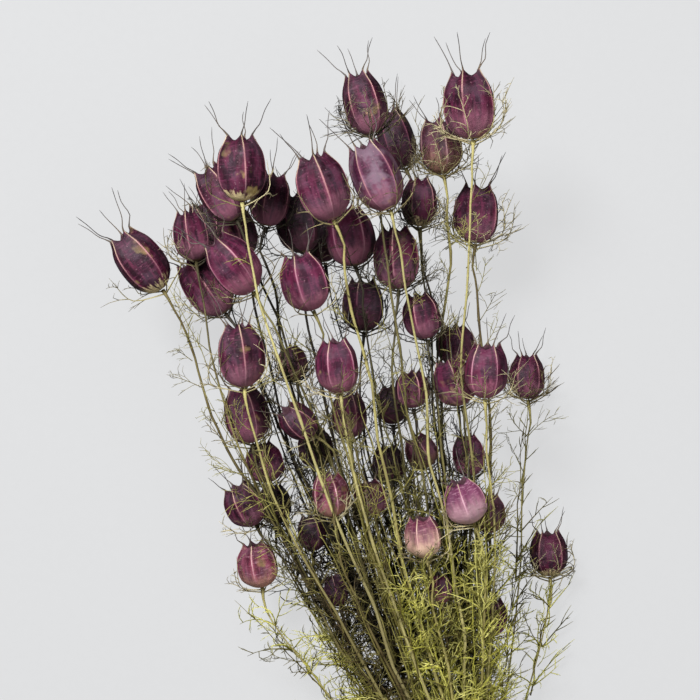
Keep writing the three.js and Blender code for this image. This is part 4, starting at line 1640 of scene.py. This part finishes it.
def mottle_group() -> bpy.types.NodeTree:
    """Makes the node group for uneven drying: soft large stains and fine grain.

    Returns:
        A group with inputs Vector, Stain Scale and Grain Scale, and outputs Stain and Grain.
    """
    tree = bpy.data.node_groups.new("uneven_drying", "ShaderNodeTree")
    face = tree.interface
    face.new_socket("Vector", in_out="INPUT", socket_type="NodeSocketVector")
    face.new_socket("Stain Scale", in_out="INPUT", socket_type="NodeSocketFloat")
    face.new_socket("Grain Scale", in_out="INPUT", socket_type="NodeSocketFloat")
    face.new_socket("Stain", in_out="OUTPUT", socket_type="NodeSocketFloat")
    face.new_socket("Grain", in_out="OUTPUT", socket_type="NodeSocketFloat")
    bench = Bench(tree)
    given = bench.node("NodeGroupInput").outputs
    out = bench.node("NodeGroupOutput")
    stain = bench.noise(given["Vector"], 1, 3, 0.6)
    tree.links.new(given["Stain Scale"], stain.node.inputs["Scale"])
    grain = bench.noise(given["Vector"], 1, 4, 0.65)
    tree.links.new(given["Grain Scale"], grain.node.inputs["Scale"])
    tree.links.new(bench.eased(stain, 0.38, 0.64), out.inputs["Stain"])
    tree.links.new(bench.eased(grain, 0.3, 0.7), out.inputs["Grain"])
    return tree


@dataclass(frozen=True)
class Finish:
    """What every finish has: its name, roughness and the strength of its relief."""

    name: str
    roughness: float = 0.6
    relief: float = 0.3

    def start(self) -> tuple[bpy.types.Material, Bench]:
        """Makes an empty material and a bench for its nodes."""
        material = bpy.data.materials.new(self.name)
        material.use_nodes = True
        material.node_tree.nodes.clear()
        return material, Bench(material.node_tree)

    def end(
        self, bench: Bench, base: object, rough: object, height: object, depth: float, **constants: object
    ) -> None:
        """Joins colour, roughness and relief to the shader.

        Args:
            bench: The material's bench.
            base: The base colour.
            rough: The roughness.
            height: The relief's height.
            depth: How deep the relief is, in metres.
            **constants: Other sockets of the shader, with underscores for spaces.
        """
        bump = bench.node("ShaderNodeBump", {"Height": height, "Strength": self.relief, "Distance": depth})
        sockets = {"Base Color": base, "Roughness": rough, "Normal": bump.outputs[0]}
        sockets.update({name.replace("_", " "): value for name, value in constants.items()})
        shader = bench.node("ShaderNodeBsdfPrincipled", sockets)
        bench.node("ShaderNodeOutputMaterial", {"Surface": shader.outputs[0]})


@dataclass(frozen=True)
class PodSkin(Finish):
    """Dyed papery skin: dark bands by the ribs that are painted shade, dust with a painted sheen between
    them, pale ribs, cross veins and stains.
    """

    dark: str = "240516"
    plum: str = "5c1a38"
    # Grey-lilac down each panel's middle: partly dust, partly a painted sheen.
    dusty: str = "54344a"
    vein: str = "7e3c5c"
    rib_low: str = "b98c97"
    rib: str = "bc8489"
    rib_top: str = "cdb89a"
    base: str = "bc7e92"
    base_reach: float = 0.5
    base_share: float = 0.5
    dusk: float = 0.45
    stain: str = "b09a60"
    stained: float = 0.1
    haze: str = "b9a3b4"
    bloom: float = 0.05
    # How much of the dust and painted sheen the panels get.
    dust: float = 0.35
    rim: str = "4a3038"
    scar_low: str = "7d6d44"
    scar: str = "b09a6c"

    def material(self, drying: bpy.types.NodeTree) -> bpy.types.Material:
        """Makes the material.

        Args:
            drying: The uneven drying group.

        Returns:
            The material.
        """
        material, bench = self.start()
        spot = bench.spot()
        across, along = bench.attribute("across"), bench.attribute("along")
        swirl, tone = bench.attribute("swirl"), bench.attribute("tone")
        stain, grain = bench.drying(drying, spot, 130, 900)
        wobble = bench.sums("MULTIPLY_ADD", bench.noise(spot, 260, 2), 0.3, -0.15)
        aside = bench.sums("ADD", across, wobble)
        flow = bench.place(bench.times(swirl, 3.0), bench.times(along, 1.6), bench.times(tone, 40))
        streaks = bench.eased(bench.noise(flow, 1.3, 3, 0.6), 0.41, 0.58)
        skin = bench.mix(streaks, colour(self.dark), colour(self.plum))
        skin = bench.mix(bench.times(bench.eased(aside, 0.06, 0.3, 1, 0), 0.35), skin, colour(self.plum))
        # Painted shade: a dark wine band on each side of every rib, standing in for the shading of each
        # lobe's relief beside the rib.
        rib_side_shade = bench.times(bench.eased(aside, 0.1, 0.24), bench.eased(aside, 0.4, 0.62, 0.5, 0))
        skin = bench.mix(rib_side_shade, skin, colour(self.dark))
        # Grey-lilac band down the middle of each panel: partly the pod's dusty bloom, partly a painted sheen
        # where the panel catches the light.
        band = bench.times(bench.eased(aside, 0.35, 0.8), bench.sums("MULTIPLY_ADD", stain, 0.6, 0.4))
        skin = bench.mix(bench.times(band, self.dust), skin, colour(self.dusty))
        skin = bench.mix(bench.eased(along, 0.5, 0.95, 0, self.dusk), skin, colour(self.dark))
        ladder = bench.noise(bench.place(bench.times(swirl, 3.2), bench.times(along, 34), 0.5), 1, 3, 0.6)
        veins = bench.eased(ladder, 0.52, 0.68)
        skin = bench.mix(bench.times(veins, 0.34), skin, colour(self.vein))
        specks = bench.node("ShaderNodeTexVoronoi", {"Vector": spot, "Scale": 620.0}).outputs["Distance"]
        specks = bench.times(bench.eased(specks, 0.1, 0.26, 1, 0), bench.eased(grain, 0.4, 0.8))
        skin = bench.mix(bench.times(specks, 0.3), skin, colour(self.rib_low))
        edge = 0.66 - 0.3 * self.stained
        patch = bench.eased(bench.noise(spot, 75, 3, 0.6), edge, edge + 0.08)
        patch = bench.times(patch, bench.eased(along, 0.25, 0.8, 1, 0.25))
        skin = bench.mix(bench.times(patch, 0.8), skin, colour(self.stain))
        skin = bench.mix(bench.times(bench.eased(stain, 0.2, 1), self.bloom), skin, colour(self.haze))
        ragged = bench.noise(bench.place(bench.times(swirl, 8.0), bench.times(along, 4), tone), 1, 3, 0.6)
        foot = bench.sums("ADD", along, bench.sums("MULTIPLY_ADD", ragged, 0.5, -0.25))
        foot = bench.sums("ADD", foot, bench.sums("MULTIPLY_ADD", stain, 0.14, -0.07))
        pale = bench.eased(foot, 0.02, self.base_reach, self.base_share, 0)
        skin = bench.mix(pale, skin, colour(self.base))
        ribs = bench.mix(bench.eased(along, 0.15, 0.45), colour(self.rib_low), colour(self.rib))
        ribs = bench.mix(bench.eased(along, 0.7, 0.97), ribs, colour(self.rib_top))
        faint = bench.sums("MULTIPLY_ADD", bench.eased(bench.noise(spot, 110, 2), 0.35, 0.65), 0.45, 0.45)
        faint = bench.times(faint, bench.eased(along, 0.1, 0.7, 0.4, 1.1))
        on_rib = bench.times(bench.eased(across, 0.015, 0.09, 1, 0), faint)
        skin = bench.mix(on_rib, skin, ribs)
        skin = bench.mix(bench.eased(along, 0.97, 1.03), skin, colour(self.rim))
        scar = bench.mix(grain, colour(self.scar_low), colour(self.scar))
        skin = bench.mix(bench.eased(along, 0.0, 0.03, 0.8, 0), skin, scar)
        height = bench.sums("ADD", bench.times(ladder, 0.8), bench.times(grain, 0.35))
        rough = bench.sums("MULTIPLY_ADD", grain, 0.18, self.roughness - 0.09)
        self.end(bench, skin, rough, height, 0.0006, Specular_IOR_Level=0.25)
        return material


@dataclass(frozen=True)
class GrownThread(Finish):
    """Dry round growth: one colour at the root, one at the tip, with stains and streaks, and painted shade on
    strands deep inside the bunch.
    """

    root: str = "a9a25c"
    tip: str = "8f8a50"
    shade: str = "5c5530"
    tone: str = "c7bd84"
    shaded: float = 0.5
    stain_scale: float = 90
    tip_from: float = 0.3
    # Near-black painted shade for strands deep inside the bunch, and how strong it is.
    aged: str = "171007"
    old: float = 0.95
    brown: str = "4c3a24"
    browned: float = 0.85
    # Olive of the painted shade on threads in the thicket among the pods, and how much of it.
    upper: str = "857a4c"
    faded: float = 0.0
    core: str = "dcd3aa"
    pith: float = 0.0
    sere: float = 0.0

    def material(self, drying: bpy.types.NodeTree) -> bpy.types.Material:
        """Makes the material.

        Args:
            drying: The uneven drying group.

        Returns:
            The material.
        """
        material, bench = self.start()
        spot = bench.spot()
        reach, tone = bench.attribute("reach"), bench.attribute("tone")
        stain, grain = bench.drying(drying, spot, self.stain_scale, 1400)
        skin = bench.mix(bench.eased(reach, self.tip_from, 1), colour(self.root), colour(self.tip))
        skin = bench.mix(bench.eased(tone, 0.4, 0.95, 0, 0.85), skin, colour(self.tone))
        skin = bench.mix(bench.eased(tone, 0.12, 0.4, self.browned, 0), skin, colour(self.brown))
        dark = bench.times(stain, bench.eased(tone, 0, 0.7, self.shaded, self.shaded * 0.35))
        skin = bench.mix(dark, skin, colour(self.shade))
        skin = bench.mix(bench.times(grain, 0.25), skin, colour(self.shade))
        x, y, z = bench.parts(spot)
        # Painted shade: threads between 90 and 170 mm along the bunch, in the thicket among the pods, are
        # darkened towards olive.
        skin = bench.mix(bench.eased(y, 0.09, 0.17, 0, self.faded), skin, colour(self.upper))
        sere = bench.times(bench.eased(y, 0.02, 0.05), bench.eased(y, 0.11, 0.15, self.sere, 0))
        across = bench.sums("MULTIPLY_ADD", y, FORM.lean, x)
        left = bench.sums("MULTIPLY_ADD", y, FORM.left_lean, x)
        left = bench.eased(left, 0.002, 0.014, 0.05, 1)
        sere = bench.times(sere, left)
        sere = bench.times(sere, bench.eased(across, -0.014, -0.004, 1, 0))
        skin = bench.mix(sere, skin, colour(self.brown))
        # Painted shade: the lower a strand lies under the bunch's top, the darker it gets, down to near
        # black. It is milder near the cut ends and fades out at the bunch's sides and its left edge.
        past_tie = bench.sums("MAXIMUM", y, 0)
        top = bench.sums("MULTIPLY_ADD", past_tie, FORM.top_slope, FORM.top_at_tie * MM)
        depth = bench.sums("DIVIDE", z, top)
        depth_shade_mask = bench.times(bench.eased(depth, 0.7, 1.22, self.old, 0), left)
        depth_shade_mask = bench.times(depth_shade_mask, bench.eased(y, 0, 0.06, 0.35, 1))
        middle = bench.sums("ADD", across, 0.007)
        half = bench.sums("MINIMUM", bench.sums("MULTIPLY_ADD", y, 0.38, 0.012), 0.062)
        aside = bench.sums("DIVIDE", bench.sums("ABSOLUTE", middle), half)
        depth_shade_mask = bench.times(depth_shade_mask, bench.eased(aside, 0.66, 0.92, 1, 0.06))
        skin = bench.mix(depth_shade_mask, skin, colour(self.aged))
        skin = bench.mix(bench.eased(reach, 0.0, 0.004, self.pith, 0), skin, colour(self.core))
        rough = bench.sums("MULTIPLY_ADD", grain, 0.15, self.roughness)
        self.end(bench, skin, rough, grain, 0.0002)
        return material


@dataclass(frozen=True)
class Raffia(Finish):
    """Raffia: straw-coloured fibre with streaks along each strand."""

    light: str = "d9bf8c"
    mid: str = "c4a878"
    dark: str = "8a6c3e"

    def material(self, drying: bpy.types.NodeTree) -> bpy.types.Material:
        """Makes the material.

        Args:
            drying: The uneven drying group.

        Returns:
            The material.
        """
        material, bench = self.start()
        tone = bench.attribute("tone")
        along, around, _ = bench.parts(bench.node("ShaderNodeUVMap").outputs[0])
        fibres = bench.place(bench.times(along, 8), bench.times(around, 60), tone)
        streaks = bench.noise(fibres, 1, 3, 0.6)
        stain, grain = bench.drying(drying, bench.spot(), 140, 1200)
        skin = bench.mix(bench.eased(streaks, 0.35, 0.65), colour(self.mid), colour(self.light))
        skin = bench.mix(bench.eased(tone, 0.1, 0.9, 0, 0.75), skin, colour(self.dark))
        skin = bench.mix(bench.times(stain, 0.4), skin, colour(self.dark))
        rough = bench.sums("MULTIPLY_ADD", grain, 0.15, self.roughness)
        self.end(bench, skin, rough, streaks, 0.0004)
        return material


@dataclass(frozen=True)
class PaleFloor(Finish):
    """A matt pale light table: paper that is lit a little from below, so that shadows on it stay faint."""

    paper: str = "4a4b4c"
    fibre: str = "4c4d4e"
    glow: float = 0.64

    def material(self) -> bpy.types.Material:
        """Makes the material."""
        material, bench = self.start()
        grain = bench.noise(bench.spot(), 300, 4)
        base = bench.mix(bench.eased(grain, 0.3, 0.7), colour(self.paper), colour(self.fibre))
        glow = {"Emission_Color": DAYLIGHT, "Emission_Strength": self.glow}
        self.end(bench, base, self.roughness, grain, 0.0001, **glow)
        return material


SKINS = {
    PodLook.PLUM: PodSkin("pod_plum"),
    PodLook.DEEP: PodSkin(
        "pod_deep", dark="15030c", plum="360e25", dusty="2b1924", rib_low="7c5664", rib="7c4658",
        base="7a4c5a",
    ),
    PodLook.BRIGHT: PodSkin(
        "pod_bright", dark="330a21", plum="6e2245", dusty="542e47", rib="c58a9c", base="c88498", dusk=0.35
    ),
    PodLook.LIGHT: PodSkin(
        "pod_light", dark="4a182a", plum="8c3f56", dusty="926276", vein="d09cac", rib="e4b4b8", base="e4ac98",
        base_reach=0.5, base_share=0.6,
    ),
    PodLook.PEACH: PodSkin(
        "pod_peach", dark="561f36", plum="9c566e", dusty="a87680", vein="d8a8a8", rib="e6bcb0", base="eecab0",
        base_reach=0.85, base_share=0.95, dusk=0.7,
    ),
    PodLook.LILAC: PodSkin(
        "pod_lilac", dark="5e2546", plum="944c70", dusty="966880", vein="d8a8bc", rib="e0b4c0", base="e8c4c6",
        base_reach=0.8, base_share=0.6, dusk=0.7,
    ),
    PodLook.FADED: PodSkin(
        "pod_faded", dark="2f111b", plum="5e2c3c", dusty="563c46", rib="b08a88", base="a8846c"
    ),
    PodLook.BLOOM: PodSkin("pod_bloom", dark="3b122b", plum="69324f", dusty="6e5464", bloom=0.2, dust=0.7),
    PodLook.PATCHED: PodSkin("pod_patched", stained=0.2, base="ecd8a4", base_reach=0.13, base_share=0.85),
}
AWN = GrownThread(
    "awn", root="7c6a54", tip="4c4848", shade="302c2c", tone="6a6462", brown="4a4240",
    old=0.0, shaded=0.4, tip_from=0.0,
)
STEM = GrownThread(
    "stem", root="9c944e", tip="b4aa66", shade="4c3a1a", tone="d8cf8c", shaded=0.8, pith=0.85, sere=0.5
)
BRACT = GrownThread(
    "bract", root="ccc088", tip="6a6046", shade="6a5a3a", tone="e4d8ac",
    shaded=0.35, tip_from=0.1, browned=0.6,
)
LEAF = GrownThread(
    "leaf", root="cac64e", tip="f0ec6e", shade="44421a", tone="fffa96", shaded=0.55, faded=0.75, sere=0.75
)
RAFFIA = Raffia("raffia", roughness=0.65)
FLOOR = PaleFloor("pale_floor", roughness=0.9, relief=0.05)


# Floor, lights and camera


@dataclass
class Studio:
    """The pale floor, soft light from all sides, and the camera that looks straight down."""

    eye: tuple[float, float, float]
    seen_width: float = 280.0
    seen_at: float = 45.0
    floor_half: float = 3.0
    floor_gap: float = 0.0004
    sky: float = 0.12
    lit_spot: tuple[float, float, float] = (-0.05, 0.2, 0.04)

    def floor(self, material: bpy.types.Material) -> None:
        """Lays the floor."""
        shape = bmesh.new()
        bmesh.ops.create_grid(shape, x_segments=2, y_segments=2, size=self.floor_half)
        mesh = bpy.data.meshes.new("floor")
        shape.to_mesh(mesh)
        shape.free()
        mesh.transform(Matrix.Translation((0, 0, -self.floor_gap)))
        mesh.materials.append(material)
        plane = bpy.data.objects.new("floor", mesh)
        plane.visible_diffuse = False
        plane.visible_glossy = False
        bpy.context.scene.collection.objects.link(plane)
        plane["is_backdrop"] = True

    def lights(self) -> None:
        """Sets the sky and the soft lamps."""
        world = bpy.data.worlds.new("studio")
        world.use_nodes = True
        back = world.node_tree.nodes["Background"]
        back.inputs["Color"].default_value = DAYLIGHT
        back.inputs["Strength"].default_value = self.sky
        bpy.context.scene.world = world
        for name, place, size, power in (
            ("window", (-0.5, 0.75, 1.0), 0.35, 20.5),
            ("fill", (0.6, 0.1, 1.0), 0.6, 4.0),
        ):
            lamp = bpy.data.lights.new(name, "AREA")
            lamp.shape = "SQUARE"
            lamp.size = size
            lamp.energy = power
            holder = bpy.data.objects.new(name, lamp)
            holder.location = place
            way = Vector(self.lit_spot) - Vector(place)
            holder.rotation_euler = way.to_track_quat("-Z", "Y").to_euler()
            bpy.context.scene.collection.objects.link(holder)

    def camera(self) -> None:
        """Puts the camera straight above the pods, with the pods' end at the top of the picture."""
        lens = bpy.data.cameras.new("above")
        lens.type = "PERSP"
        lens.sensor_width = 36
        lens.lens = 36 * (self.eye[2] - self.seen_at) / self.seen_width
        holder = bpy.data.objects.new("above", lens)
        holder.location = [value * MM for value in self.eye]
        holder.rotation_euler = (0, 0, 0)
        bpy.context.scene.collection.objects.link(holder)
        bpy.context.scene.camera = holder

    def build(self) -> None:
        """Builds the whole studio."""
        self.floor(FLOOR.material())
        self.lights()
        self.camera()
        bpy.context.scene.view_settings.view_transform = "Standard"


def main() -> None:
    """Builds the bunch in its frame, then the studio round it."""
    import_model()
    cad_low, cad_high = (list(corner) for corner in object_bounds())
    bunch = Bunch()
    studio = Studio(bunch.eye)
    studio.build()
    drying = mottle_group()
    Pods(bunch).build({look: skin.material(drying) for look, skin in SKINS.items()}, AWN.material(drying))
    growth = Growth(bunch, np.array(cad_low) / MM + BOX_MARGIN, np.array(cad_high) / MM - BOX_MARGIN)
    growth.build(STEM.material(drying), BRACT.material(drying), LEAF.material(drying))
    RaffiaTie(bunch).build(RAFFIA.material(drying))
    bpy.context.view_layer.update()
    faces = sum(len(piece.data.polygons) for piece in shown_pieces() if piece.type == "MESH")
    LOG.info("faces in all: %d", faces)


if __name__ == "__main__":
    logging.basicConfig(level=logging.INFO, format="%(message)s", stream=sys.stdout)
    main()
